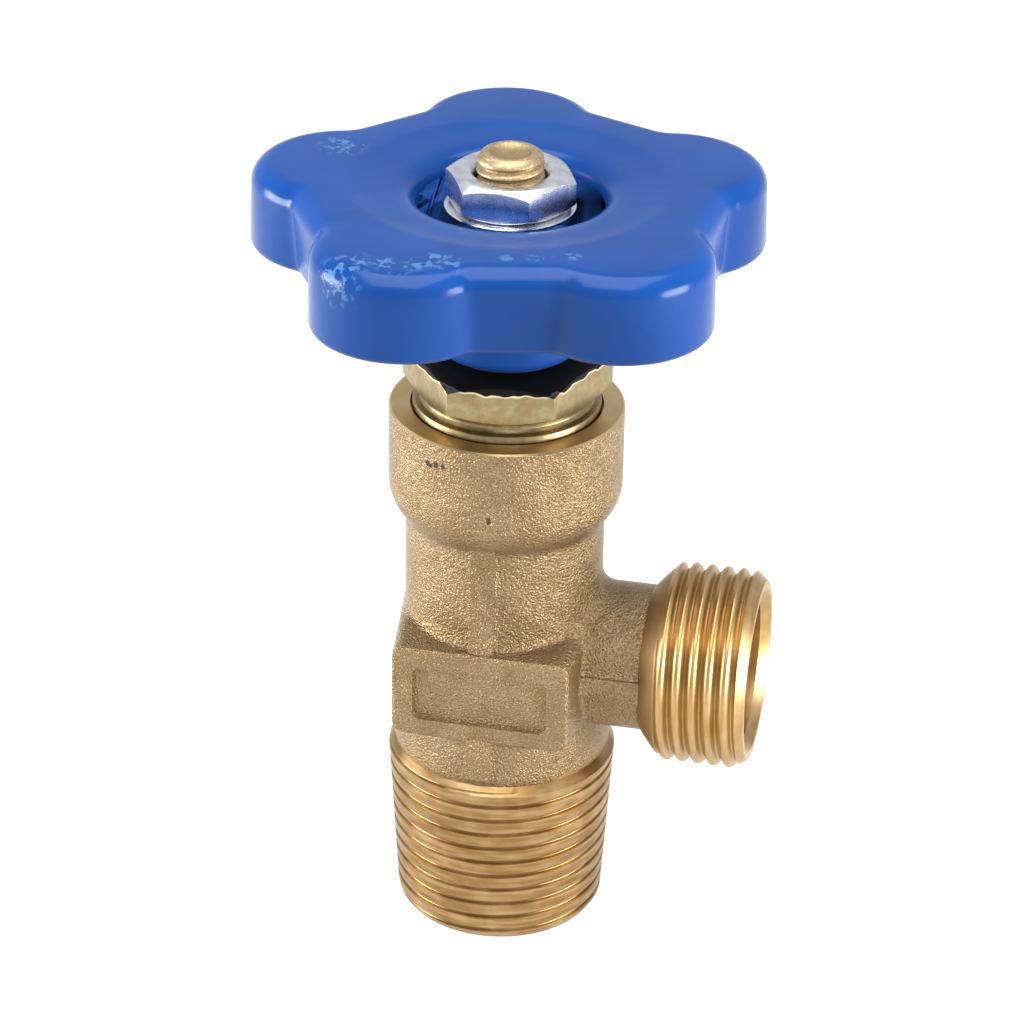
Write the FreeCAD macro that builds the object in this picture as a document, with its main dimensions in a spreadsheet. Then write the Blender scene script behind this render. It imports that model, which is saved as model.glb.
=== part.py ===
import FreeCAD, Part
import Sketcher
import os
import re
from math import cos, hypot, pi, sin, sqrt, tan

# High-pressure gas cylinder valve with a five-lobed handwheel, in millimetres.
# Z is the valve's own axis, up from the end of the taper shank. The outlet points along +X,
# and the forged flat with the recessed field faces -Y. The valve is closed.

document = FreeCAD.newDocument("CylinderValve")
sheet = document.addObject("Spreadsheet::Sheet", "Sizes")

SIZES = [
    # Taper shank that screws into the cylinder
    ("shank_end_radius", 12.0, "crest radius at the small end"),
    ("shank_taper", 0.12, "change of diameter for each millimetre of height"),
    ("shank_length", 21.4, "machined length, up to the forged foot"),
    ("shank_chamfer", 1.0, "chamfer at the small end"),
    ("shank_flare", 0.9, "height of the cone between the last crest and the foot"),
    ("shank_bore_radius", 4.5, "gas inlet"),
    ("shank_bore_depth", 13.0, "depth of the gas inlet"),
    ("passage_radius", 2.6, "bore that leads up to the seat"),
    ("drill_point", 0.6, "depth of a drilled cone for each millimetre of its radius"),
    # Forged body
    ("outlet_rise", 12.4, "from the top of the shank to the outlet's axis"),
    ("foot_radius", 12.6, "round foot at the height of the outlet"),
    ("foot_edge_inset", 0.3, "how far the lower edge of the foot is rounded in"),
    ("foot_edge_height", 0.8, "height of that rounding"),
    ("foot_edge_bend", 1.2, "radius of that rounding"),
    ("foot_below_outlet", 1.0, "from where the foot starts to narrow up to the outlet's axis"),
    ("shoulder_height", 7.4, "height of the cone between foot and neck"),
    ("neck_radius", 11.3, "neck between foot and collar"),
    ("neck_fillet", 1.6, "fillet between neck and collar"),
    ("collar_wall", 2.38, "wall of the collar round the gland nut's flange"),
    ("collar_height", 9.3, "cylindrical height of the collar"),
    ("collar_bend", 5.2, "radius of the convex underside of the collar"),
    ("collar_edge", 0.2, "small chamfer round the top face"),
    # Forged bands, and wrench flats of which the front one has a bare recessed field
    ("rib_width", 2.8, "width of the flat forged bands"),
    ("rib_height", 0.15, "how far the bands and the flats stand out"),
    ("flat_width", 20.4, "width of a wrench flat"),
    ("flat_below_outlet", 6.5, "from the outlet's axis to the lower edge of a flat"),
    ("flat_above_outlet", 4.8, "from the outlet's axis to the upper edge of the front flat"),
    ("rear_flat_drop", 2.5, "how much lower the upper edge of the rear flat is"),
    ("flat_corner", 1.5, "corner radius of a wrench flat"),
    ("draft_slope", 0.128, "forging draft behind the flats"),
    ("field_width", 15.4, "width of the recessed field"),
    ("field_below_outlet", 4.3, "from the outlet's axis to the lower edge of the field"),
    ("field_above_outlet", 2.3, "from the outlet's axis to the upper edge of the field"),
    ("field_corner", 0.8, "corner radius of the field"),
    ("field_depth", 0.5, "depth of the field"),
    # Outlet
    ("outlet_end", 29.8, "from the valve's axis to the end face of the outlet"),
    ("outlet_neck_radius", 8.4, "forged outlet neck"),
    ("outlet_fillet", 2.0, "blend between the outlet neck and the body"),
    ("outlet_flare", 1.8, "length of the cone between neck and thread"),
    ("outlet_thread_radius", 11.455, "major radius of the outlet thread"),
    ("outlet_thread_length", 10.4, "from the first crest to the end face"),
    ("outlet_chamfer", 1.4, "length of the chamfer on the end of the thread"),
    ("outlet_chamfer_depth", 1.12, "depth of that chamfer"),
    ("outlet_bore_radius", 8.6, "bore of the outlet"),
    ("outlet_bore_depth", 9.5, "cylindrical depth of the outlet bore"),
    ("outlet_cone_length", 3.8, "length of the cone at the bottom of the bore"),
    ("port_radius", 2.25, "passage between chamber and outlet"),
    ("port_overrun", 1.0, "how far that passage is drilled into the chamber"),
    # Chamber and seat
    ("port_rise", 3.8, "from the chamber's floor to the outlet's axis"),
    ("chamber_radius", 7.6, "threaded chamber that guides the plunger"),
    ("seat_height", 1.0, "height of the seat ring"),
    ("seat_land", 0.7, "width of the top of the seat ring"),
    ("seat_slope", 0.6, "widening of the seat ring towards its foot"),
    # Plunger with its soft disc
    ("plunger_lift", 3.0, "travel of the plunger"),
    ("plunger_nose_radius", 5.2, "nose round the soft disc"),
    ("plunger_nose_length", 6.05, "length of the nose"),
    ("plunger_thread_length", 8.9, "length of the screwed part"),
    ("plunger_edge", 0.6, "chamfers of the screwed part"),
    ("nose_edge", 0.3, "chamfer of the nose"),
    ("insert_lip", 1.0, "lip of the nose round the soft disc"),
    ("insert_thickness", 2.4, "thickness of the soft disc"),
    ("insert_stand_out", 0.3, "how far the soft disc stands below the nose"),
    # Drive plate between plunger and stem
    ("plate_thickness", 2.8, "thickness of the drive plate"),
    ("plate_inset", 0.2, "how far its sides lie inside the stem's boss"),
    ("plate_engagement", 3.6, "how far it reaches into the closed plunger"),
    ("plate_grip", 5.1, "how far it reaches into the stem"),
    ("plate_edge", 0.6, "chamfers of its corners"),
    ("slot_side_gap", 0.1, "gap beside it in its slots"),
    ("slot_depth_gap", 0.3, "gap over it in its slots"),
    # Stem
    ("stem_clearance", 0.5, "gap between the stem and the plunger at the end of its lift"),
    ("stem_radius", 5.0, "shaft through the gland nut"),
    ("boss_step", 1.5, "how far the slotted boss stands out from the shaft"),
    ("boss_length", 6.85, "length of the boss"),
    ("stem_flange_step", 1.25, "how far the sealing flange stands out from the boss"),
    ("stem_flange_thickness", 2.1, "thickness of that flange"),
    ("stem_square", 8.0, "square that carries the handwheel, across flats"),
    ("square_lead", 0.3, "how far the square starts below the hub"),
    ("stem_thread_radius", 3.95, "threaded end"),
    ("stem_stand_out", 2.2, "how far the end stands out of the top nut"),
    ("stem_end_radius", 2.6, "rim radius of the shallow dish in the end"),
    ("stem_end_round", 1.3, "height of the rounding at the end"),
    ("stem_end_bend", 2.08, "radius of that rounding"),
    ("stem_dish_depth", 0.35, "depth of the dish"),
    # Gland nut
    ("recess_gap", 0.15, "gap round the stem's flange"),
    ("gland_recess_depth", 4.8, "depth of the recess for the stem's flange"),
    ("gland_wall", 2.1, "wall round that recess"),
    ("gland_thread_length", 9.0, "length of its bore in the body"),
    ("thread_lead", 0.5, "chamfer at the lower end of the thread"),
    ("gland_flange_step", 0.6, "how far the flange stands out from the thread"),
    ("gland_flange_gap", 0.35, "gap between the flange and the rebate under it"),
    ("gland_flange_thickness", 1.7, "thickness of the flange"),
    ("gland_flange_edge", 0.3, "chamfer on the flange"),
    ("rebate_gap", 0.27, "gap round the flange in the body's rebate"),
    ("rebate_depth", 1.2, "depth of that rebate"),
    ("waist_step", 0.2, "how far the waist lies inside the thread"),
    ("waist_groove", 0.3, "how far the waist narrows upwards"),
    ("waist_height", 0.95, "height of the waist between flange and hexagon"),
    ("gland_hex_height", 5.0, "height of the hexagon"),
    ("gland_across_flats", 20.35, "hexagon across flats"),
    ("gland_face_radius", 9.6, "round faces of the hexagon inside its chamfers"),
    ("gland_turn", 8.0, "angle of the first corner from the outlet"),
    ("gland_bore_edge", 0.4, "chamfer at the top of the stem bore"),
    # Seals and washers
    ("gland_gasket_thickness", 1.2, "gasket under the gland nut"),
    ("stem_gasket_thickness", 1.6, "gasket over the stem's flange"),
    ("gasket_gap", 0.2, "gap round the gaskets"),
    ("washer_inset", 0.6, "how far the glide washer lies inside the hub"),
    ("washer_thickness", 0.4, "thickness of the glide washer"),
    # Handwheel
    ("hub_radius", 7.5, "hub under the wheel"),
    ("hub_height", 10.15, "from the hub's end to the floor of the well"),
    ("hub_edge", 0.8, "rounding of the hub's lower edge"),
    ("web_thickness", 2.4, "floor of the well"),
    ("well_gap", 1.6, "gap round the spring cap"),
    ("well_depth", 8.4, "from the lowest part of the top to the floor of the well"),
    ("well_edge", 1.5, "rounding of the mouth of the well"),
    ("well_wall", 2.1, "wall round the well"),
    ("dish_radius", 18.0, "where the top starts to fall towards the well"),
    ("dish_depth", 0.8, "fall of the top towards the well"),
    ("wheel_height", 9.8, "height of the lobed rim"),
    ("lobe_centre", 18.75, "distance of the lobe centres from the axis"),
    ("lobe_radius", 10.7, "radius of a lobe"),
    ("valley_radius", 14.0, "radius of the hollow between two lobes"),
    ("wheel_turn", 31.2, "angle of the first lobe from the outlet"),
    ("wheel_edge", 2.6, "rounding of the upper edge"),
    ("wheel_lower_edge", 0.8, "rounding of the lower edge"),
    ("skirt_thickness", 2.3, "wall of the skirt"),
    ("cover_thickness", 2.6, "thickness under the top"),
    ("wheel_rib_thickness", 2.0, "ribs under the wheel"),
    ("wheel_rib_drop", 4.5, "height of the ribs below the cover"),
    # Spring, cap and nut on top
    ("spring_space", 5.8, "from the floor of the well to the cap"),
    ("spring_gap", 0.65, "gap between the stem and the spring"),
    ("spring_wire_radius", 0.65, "wire of the spring"),
    ("spring_turns", 2.5, "turns of the spring"),
    ("cap_thickness", 0.9, "thickness of the spring cap"),
    ("cap_skirt", 1.3, "width of the cap's sloping rim"),
    ("cap_fall", 0.8, "fall of that rim"),
    ("nut_across_flats", 13.0, "top nut across flats"),
    ("nut_thickness", 4.0, "thin nut"),
    ("nut_face_radius", 6.2, "round face of the nut inside its chamfer"),
    ("nut_turn", 55.0, "angle of the first corner of the nut"),
    ("nut_sink", 0.35, "countersink of the nut"),
    # Fits
    ("thread_gap", 0.06, "radial gap where two plain pieces stand for a thread"),
    ("running_gap", 0.06, "radial gap of a turning fit"),
    ("sliding_gap", 0.05, "gap on each side of the square"),
    ("face_gap", 0.05, "axial gap between faces that turn on each other"),
]

for row, (alias, number, note) in enumerate(SIZES, start=1):
    sheet.set("A%d" % row, alias)
    sheet.set("B%d" % row, str(number))
    sheet.set("C%d" % row, note)
    sheet.setAlias("B%d" % row, alias)
document.recompute()

ALIASES = {alias for alias, number, note in SIZES}
CHAMFER_SLOPE = tan(pi / 6)
HEIGHT_AND_TURNS = 2
SMALLEST_CHANGE = 1e-4
TOUCH = 1e-3
bodies = []


def linked(formula):
    """The formula with each size's name turned into its cell in the sheet."""
    return re.sub(r"[a-z_]+", lambda found: "Sizes." + found.group() if found.group() in ALIASES
                  else found.group(), str(formula))


def number(formula):
    """The value of a formula now."""
    return float(sheet.evalExpression(linked(formula)))


def bind(item, path, formula):
    item.setExpression(path, linked(formula))


# Radii from the axis outwards: what holds a piece takes its size from the piece
STEM_BOSS_RADIUS = "(stem_radius + boss_step)"
STEM_FLANGE_RADIUS = "(%s + stem_flange_step)" % STEM_BOSS_RADIUS
GLAND_RECESS_RADIUS = "(%s + recess_gap)" % STEM_FLANGE_RADIUS
GLAND_THREAD_RADIUS = "(%s + gland_wall)" % GLAND_RECESS_RADIUS
GLAND_BORE_RADIUS = "(%s + thread_gap)" % GLAND_THREAD_RADIUS
GLAND_WAIST_RADIUS = "(%s - waist_step)" % GLAND_THREAD_RADIUS
GLAND_FLANGE_RADIUS = "(%s + gland_flange_step)" % GLAND_THREAD_RADIUS
REBATE_RADIUS = "(%s + rebate_gap)" % GLAND_FLANGE_RADIUS
COLLAR_RADIUS = "(%s + collar_wall)" % REBATE_RADIUS
PLUNGER_RADIUS = "(chamber_radius - thread_gap)"
INSERT_RADIUS = "(plunger_nose_radius - insert_lip)"
SHAFT_HOLE_RADIUS = "(stem_radius + running_gap)"
SPRING_RADIUS = "(stem_radius + spring_gap + spring_wire_radius)"
CAP_FLAT_RADIUS = "(%s + spring_wire_radius + face_gap)" % SPRING_RADIUS
CAP_RADIUS = "(%s + cap_skirt)" % CAP_FLAT_RADIUS
WELL_RADIUS = "(%s + well_gap)" % CAP_RADIUS
WELL_OUTER_RADIUS = "(%s + well_wall)" % WELL_RADIUS
FLAT_DISTANCE = "(foot_radius + rib_height)"
SLOT_WIDTH = "(plate_thickness + 2 * slot_side_gap)"

# Shank and outlet
SHANK_TOP_RADIUS = "(shank_end_radius + shank_taper / 2 * (shank_length - shank_flare))"
OUTLET_THREAD_START = "(outlet_end - outlet_thread_length)"
OUTLET_NECK_END = "(%s - outlet_flare)" % OUTLET_THREAD_START
OUTLET_BORE_FLOOR = "(outlet_end - outlet_bore_depth)"

# Heights from the inlet upwards: each piece stands on the one below it
FOOT_BOTTOM = "(shank_length + foot_edge_height)"
OUTLET_HEIGHT = "(shank_length + outlet_rise)"
FOOT_TOP = "(%s - foot_below_outlet)" % OUTLET_HEIGHT
NECK_START = "(%s + shoulder_height)" % FOOT_TOP
FLAT_BOTTOM = "(%s - flat_below_outlet)" % OUTLET_HEIGHT
FLAT_TOP = "(%s + flat_above_outlet)" % OUTLET_HEIGHT
REAR_FLAT_TOP = "(%s - rear_flat_drop)" % FLAT_TOP
CHAMBER_FLOOR = "(%s - port_rise)" % OUTLET_HEIGHT
SEAT_TOP = "(%s + seat_height)" % CHAMBER_FLOOR
INSERT_BOTTOM = "(%s + face_gap)" % SEAT_TOP
INSERT_TOP = "(%s + insert_thickness)" % INSERT_BOTTOM
NOSE_BOTTOM = "(%s + insert_stand_out)" % INSERT_BOTTOM
PLUNGER_SHOULDER = "(%s + plunger_nose_length)" % NOSE_BOTTOM
PLUNGER_TOP = "(%s + plunger_thread_length)" % PLUNGER_SHOULDER
PLATE_BOTTOM = "(%s - plate_engagement)" % PLUNGER_TOP
STEM_BOTTOM = "(%s + plunger_lift + stem_clearance)" % PLUNGER_TOP
PLATE_TOP = "(%s + plate_grip)" % STEM_BOTTOM
STEM_FLANGE_BOTTOM = "(%s + boss_length)" % STEM_BOTTOM
STEM_FLANGE_TOP = "(%s + stem_flange_thickness)" % STEM_FLANGE_BOTTOM
STEM_GASKET_BOTTOM = "(%s + face_gap)" % STEM_FLANGE_TOP
RECESS_TOP = "(%s + stem_gasket_thickness)" % STEM_GASKET_BOTTOM
GLAND_BOTTOM = "(%s - gland_recess_depth)" % RECESS_TOP
LEDGE = "(%s - gland_gasket_thickness)" % GLAND_BOTTOM
REBATE_FLOOR = "(%s + gland_thread_length)" % LEDGE
COLLAR_TOP = "(%s + rebate_depth)" % REBATE_FLOOR
COLLAR_START = "(%s - collar_height)" % COLLAR_TOP
COLLAR_FOOT = ("(%s - sqrt(collar_bend ^ 2 - (collar_bend - %s + neck_radius) ^ 2))"
               % (COLLAR_START, COLLAR_RADIUS))
GLAND_FLANGE_BOTTOM = "(%s + gland_flange_gap)" % REBATE_FLOOR
GLAND_FLANGE_TOP = "(%s + gland_flange_thickness)" % GLAND_FLANGE_BOTTOM
GLAND_HEX_BOTTOM = "(%s + waist_height)" % GLAND_FLANGE_TOP
GLAND_TOP = "(%s + gland_hex_height)" % GLAND_HEX_BOTTOM
WASHER_BOTTOM = "(%s + face_gap)" % GLAND_TOP
HUB_BOTTOM = "(%s + washer_thickness)" % WASHER_BOTTOM
SQUARE_BOTTOM = "(%s - square_lead)" % HUB_BOTTOM
WELL_FLOOR = "(%s + hub_height)" % HUB_BOTTOM
DISH_BOTTOM = "(%s + well_depth)" % WELL_FLOOR
WHEEL_TOP = "(%s + dish_depth)" % DISH_BOTTOM
WHEEL_BOTTOM = "(%s - wheel_height)" % WHEEL_TOP
COVER_UNDERSIDE = "(%s - cover_thickness)" % WHEEL_TOP
SQUARE_TOP = "(%s + spring_space)" % WELL_FLOOR
CAP_TOP = "(%s + cap_thickness)" % SQUARE_TOP
NUT_TOP = "(%s + nut_thickness)" % CAP_TOP
STEM_TOP = "(%s + stem_stand_out)" % NUT_TOP


def new_body(label):
    body = document.addObject("PartDesign::Body", label)
    body.Label = label
    bodies.append(body)
    return body


def origin_item(body, role):
    """One of the body's own origin planes or axes."""
    return next(item for item in body.Origin.OriginFeatures if item.Role == role)


def new_sketch(body, name, role, height=None, turn=None):
    """A sketch on one of the body's origin planes, raised by height and turned about its normal."""
    sketch = body.newObject("Sketcher::SketchObject", name)
    sketch.AttachmentSupport = (origin_item(body, role), [""])
    sketch.MapMode = "FlatFace"
    if height is not None:
        bind(sketch, "AttachmentOffset.Base.z", height)
    if turn is not None:
        sketch.AttachmentOffset = FreeCAD.Placement(FreeCAD.Vector(), FreeCAD.Rotation(0.001, 0, 0))
        bind(sketch, "AttachmentOffset.Rotation.Angle", turn)
    document.recompute()
    return sketch


def dimension(sketch, kind, places, formula):
    """A driving dimension bound to the sheet."""
    index = sketch.addConstraint(Sketcher.Constraint(kind, *places, number(formula)))
    bind(sketch, "Constraints[%d]" % index, formula)


def hold_point(sketch, geometry, end, across, along):
    dimension(sketch, "DistanceX", (-1, 1, geometry, end), across)
    dimension(sketch, "DistanceY", (-1, 1, geometry, end), along)


def arc_between(first, last, radius, bulge):
    """Arc of a radius from first to last, curving to the right of its chord where bulge is 1
    and to the left where it is -1."""
    chord = last - first
    middle = (first + last) / 2
    rise = sqrt(max(radius ** 2 - (chord.Length / 2) ** 2, 0.0))
    side = FreeCAD.Vector(chord.y, -chord.x, 0).normalize() * bulge
    top = middle - side * rise + side * radius
    return Part.Arc(first, top, last)


def closed_outline(sketch, steps):
    """Closed outline through formula points. A step is (x, y), reached by a straight line, or
    (x, y, radius, bulge), reached by an arc."""
    points = [FreeCAD.Vector(number(step[0]), number(step[1]), 0) for step in steps]
    count = len(steps)
    first_index = sketch.GeometryCount
    arcs = {}
    for index in range(count):
        after = (index + 1) % count
        step = steps[after]
        if len(step) == 2:
            sketch.addGeometry(Part.LineSegment(points[index], points[after]))
            continue
        curve = arc_between(points[index], points[after], number(step[2]), step[3])
        arc = sketch.addGeometry(curve)
        start = sketch.getPoint(arc, 1)
        arcs[arc] = (start - points[index]).Length < 1e-6
        dimension(sketch, "Radius", (arc,), step[2])
    for index in range(count):
        geometry = first_index + index
        following = first_index + (index + 1) % count
        out_end = 2 if arcs.get(geometry, True) else 1
        in_end = 1 if arcs.get(following, True) else 2
        sketch.addConstraint(Sketcher.Constraint("Coincident", geometry, out_end, following, in_end))
        after = steps[(index + 1) % count]
        hold_point(sketch, following, in_end, after[0], after[1])
    return sketch


def rectangle(sketch, left, right, bottom, top):
    return closed_outline(sketch, [(left, bottom), (right, bottom), (right, top), (left, top)])


def rounded_rectangle(sketch, half_width, bottom, top, corner):
    left, right = "-(%s)" % half_width, half_width
    return closed_outline(sketch, [
        ("%s + %s" % (left, corner), bottom, corner, 1),
        ("%s - %s" % (right, corner), bottom),
        (right, "%s + %s" % (bottom, corner), corner, 1),
        (right, "%s - %s" % (top, corner)),
        ("%s - %s" % (right, corner), top, corner, 1),
        ("%s + %s" % (left, corner), top),
        (left, "%s - %s" % (top, corner), corner, 1),
        (left, "%s + %s" % (bottom, corner)),
    ])


def circle(sketch, radius, across=None, along=None):
    place = FreeCAD.Vector(number(across or 0), number(along or 0), 0)
    index = sketch.addGeometry(Part.Circle(place, FreeCAD.Vector(0, 0, 1), number(radius)))
    if across is None:
        sketch.addConstraint(Sketcher.Constraint("Coincident", index, 3, -1, 1))
    else:
        hold_point(sketch, index, 3, across, along)
    dimension(sketch, "Radius", (index,), radius)
    return sketch


def polygon_outline(sketch, sides, inner_radius):
    """Regular polygon with its first corner on the sketch's X axis."""
    reach = "%s / %.9f" % (inner_radius, cos(pi / sides))
    closed_outline(sketch, [("%s * %.9f" % (reach, cos(2 * pi * side / sides)),
                             "%s * %.9f" % (reach, sin(2 * pi * side / sides)))
                            for side in range(sides)])
    return sketch


def settled(item, before, growth):
    """The item, once it has made a sound solid whose volume grew (1) or shrank (-1)."""
    document.recompute()
    shape = item.Shape
    if shape.isNull() or not shape.isValid():
        raise RuntimeError("%s makes no sound shape" % item.Name)
    if (shape.Volume - before) * growth < SMALLEST_CHANGE:
        raise RuntimeError("%s changes nothing" % item.Name)
    return item


def feature(body, kind, name, sketch):
    item = body.newObject("PartDesign::" + kind, name)
    item.Profile = sketch
    sketch.Visibility = False
    return item


def volume(body):
    return 0.0 if body.Shape.isNull() else body.Shape.Volume


def turned(body, name, sketch, kind="Revolution", axis="V_Axis"):
    """A full turn of a sketch about one of its own axes."""
    before = volume(body)
    item = feature(body, kind, name, sketch)
    item.ReferenceAxis = (sketch, [axis])
    item.Angle = 360
    return settled(item, before, -1 if kind == "Groove" else 1)


def raised(body, name, sketch, length, reverse=False, kind="Pad"):
    before = volume(body)
    item = feature(body, kind, name, sketch)
    bind(item, "Length", length)
    item.Reversed = reverse
    return settled(item, before, -1 if kind == "Pocket" else 1)


def sunk(body, name, sketch, length, reverse=False):
    return raised(body, name, sketch, length, reverse=reverse, kind="Pocket")


def cut_round(body, name, sketch, axis="V_Axis"):
    return turned(body, name, sketch, kind="Groove", axis=axis)


def edges_where(body, test):
    """Names of the body's edges of which every sampled point passes the test."""
    names = []
    for index, edge in enumerate(body.Shape.Edges, start=1):
        spots = edge.discretize(Number=7)
        if all(test(spot) for spot in spots):
            names.append("Edge%d" % index)
    return names


def rounded(body, name, radius, test):
    """Fillet on the edges that pass the test."""
    names = edges_where(body, test)
    if not names:
        raise RuntimeError("%s finds no edge" % name)
    base = body.Tip
    item = body.newObject("PartDesign::Fillet", name)
    item.Base = (base, names)
    bind(item, "Radius", radius)
    document.recompute()
    if item.Shape.isNull() or not item.Shape.isValid():
        raise RuntimeError("%s makes no sound shape" % name)
    return item


def ring(label, inner, outer, bottom, top):
    """A plain washer, gasket or disc."""
    body = new_body(label)
    sketch = new_sketch(body, label + "_profile", "XZ_Plane")
    rectangle(sketch, inner, outer, bottom, top)
    turned(body, label + "_ring", sketch)
    return body


def build_valve_body():
    body = new_body("valve_body")

    neck = new_sketch(body, "neck_profile", "XZ_Plane")
    closed_outline(neck, [
        ("0", FOOT_BOTTOM),
        ("neck_radius", FOOT_BOTTOM),
        ("neck_radius", COLLAR_FOOT),
        (COLLAR_RADIUS, COLLAR_START, "collar_bend", 1),
        (COLLAR_RADIUS, COLLAR_TOP + " - collar_edge"),
        (COLLAR_RADIUS + " - collar_edge", COLLAR_TOP),
        ("0", COLLAR_TOP),
    ])
    turned(body, "neck", neck)

    outlet = new_sketch(body, "outlet_profile", "XZ_Plane")
    bind(outlet, "AttachmentOffset.Base.y", OUTLET_HEIGHT)
    closed_outline(outlet, [
        ("0", "0"),
        ("outlet_end", "0"),
        ("outlet_end", "outlet_thread_radius - outlet_chamfer_depth"),
        ("outlet_end - outlet_chamfer", "outlet_thread_radius"),
        (OUTLET_THREAD_START, "outlet_thread_radius"),
        (OUTLET_NECK_END, "outlet_neck_radius"),
        ("0", "outlet_neck_radius"),
    ])
    turned(body, "outlet", outlet, axis="H_Axis")

    height, branch = number(OUTLET_HEIGHT), number("outlet_neck_radius")
    trunk, collar_foot = number("neck_radius"), number(COLLAR_FOOT)
    rounded(body, "outlet_blend", "outlet_fillet",
            lambda spot: abs(hypot(spot.x, spot.y) - trunk) < TOUCH
            and abs(hypot(spot.y, spot.z - height) - branch) < TOUCH)
    rounded(body, "collar_blend", "neck_fillet",
            lambda spot: abs(hypot(spot.x, spot.y) - trunk) < TOUCH
            and abs(spot.z - collar_foot) < TOUCH)

    foot = new_sketch(body, "foot_profile", "XZ_Plane")
    closed_outline(foot, [
        ("0", "0"),
        ("shank_end_radius - shank_chamfer", "0"),
        ("shank_end_radius + shank_taper / 2 * shank_chamfer", "shank_chamfer"),
        (SHANK_TOP_RADIUS, "shank_length - shank_flare"),
        ("foot_radius - foot_edge_inset", "shank_length"),
        ("foot_radius", FOOT_BOTTOM, "foot_edge_bend", 1),
        ("foot_radius", FOOT_TOP),
        ("neck_radius", NECK_START),
        ("0", NECK_START),
    ])
    turned(body, "foot", foot)

    spread = FLAT_DISTANCE + " * draft_slope"
    for side, behind, flat_top in (("front", False, FLAT_TOP), ("rear", True, REAR_FLAT_TOP)):
        flat = new_sketch(body, side + "_flat_outline", "XZ_Plane")
        rounded_rectangle(flat, "(flat_width / 2 + %s)" % spread, "(%s - %s)" % (FLAT_BOTTOM, spread),
                          "(%s + %s)" % (flat_top, spread), "(flat_corner + %s)" % spread)
        pad = raised(body, side + "_flat", flat, FLAT_DISTANCE, reverse=behind)
        bind(pad, "TaperAngle", "-atan(draft_slope)")
        document.recompute()

        foot_band = new_sketch(body, side + "_foot_band_outline", "XZ_Plane")
        rectangle(foot_band, "-rib_width / 2", "rib_width / 2", FOOT_BOTTOM, flat_top)
        raised(body, side + "_foot_band", foot_band, FLAT_DISTANCE, reverse=behind)

        neck_band = new_sketch(body, side + "_neck_band_outline", "XZ_Plane")
        rectangle(neck_band, "-rib_width / 2", "rib_width / 2", flat_top, COLLAR_FOOT)
        raised(body, side + "_neck_band", neck_band, "neck_radius + rib_height", reverse=behind)

        outlet_band = new_sketch(body, side + "_outlet_band_outline", "XZ_Plane")
        rectangle(outlet_band, "chamber_radius", OUTLET_NECK_END,
                  OUTLET_HEIGHT + " - rib_width / 2", OUTLET_HEIGHT + " + rib_width / 2")
        raised(body, side + "_outlet_band", outlet_band, "outlet_neck_radius + rib_height",
               reverse=behind)

    field = new_sketch(body, "field_outline", "XZ_Plane", height=FLAT_DISTANCE)
    rounded_rectangle(field, "field_width / 2", OUTLET_HEIGHT + " - field_below_outlet",
                      OUTLET_HEIGHT + " + field_above_outlet", "field_corner")
    sunk(body, "field", field, "field_depth")

    inner = new_sketch(body, "inner_profile", "XZ_Plane")
    closed_outline(inner, [
        ("0", "0"),
        ("shank_bore_radius", "0"),
        ("shank_bore_radius", "shank_bore_depth"),
        ("passage_radius",
         "shank_bore_depth + (shank_bore_radius - passage_radius) * drill_point"),
        ("passage_radius", SEAT_TOP),
        ("passage_radius + seat_land", SEAT_TOP),
        ("passage_radius + seat_land + seat_slope", CHAMBER_FLOOR),
        ("chamber_radius", CHAMBER_FLOOR),
        ("chamber_radius", LEDGE),
        (GLAND_BORE_RADIUS, LEDGE),
        (GLAND_BORE_RADIUS, REBATE_FLOOR),
        (REBATE_RADIUS, REBATE_FLOOR),
        (REBATE_RADIUS, COLLAR_TOP),
        ("0", COLLAR_TOP),
    ])
    cut_round(body, "bores", inner)

    outlet_bore = new_sketch(body, "outlet_bore_profile", "XZ_Plane")
    bind(outlet_bore, "AttachmentOffset.Base.y", OUTLET_HEIGHT)
    closed_outline(outlet_bore, [
        ("chamber_radius - port_overrun", "0"),
        ("outlet_end", "0"),
        ("outlet_end", "outlet_bore_radius"),
        (OUTLET_BORE_FLOOR, "outlet_bore_radius"),
        ("%s - outlet_cone_length" % OUTLET_BORE_FLOOR, "port_radius"),
        ("chamber_radius - port_overrun", "port_radius"),
    ])
    cut_round(body, "outlet_bore", outlet_bore, axis="H_Axis")


def hexagon(body, name, across_flats, bottom, top, turn, face_radius, both_faces):
    """Hexagon bar with its corners chamfered at 30 degrees."""
    outline = new_sketch(body, name + "_outline", "XY_Plane", height=bottom, turn=turn)
    polygon_outline(outline, 6, "(%s / 2)" % across_flats)
    raised(body, name, outline, "%s - %s" % (top, bottom))
    reach = "(%s / %.9f)" % (across_flats, sqrt(3))
    drop = "(%s - %s) * %.9f" % (reach, face_radius, CHAMFER_SLOPE)
    faces = [("upper", top, "-")] + ([("lower", bottom, "+")] if both_faces else [])
    for place, level, sign in faces:
        corner = new_sketch(body, "%s_%s_chamfer_profile" % (name, place), "XZ_Plane")
        closed_outline(corner, [
            (face_radius, level),
            (reach, level),
            (reach, "%s %s %s" % (level, sign, drop)),
        ])
        cut_round(body, "%s_%s_chamfer" % (name, place), corner)


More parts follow.
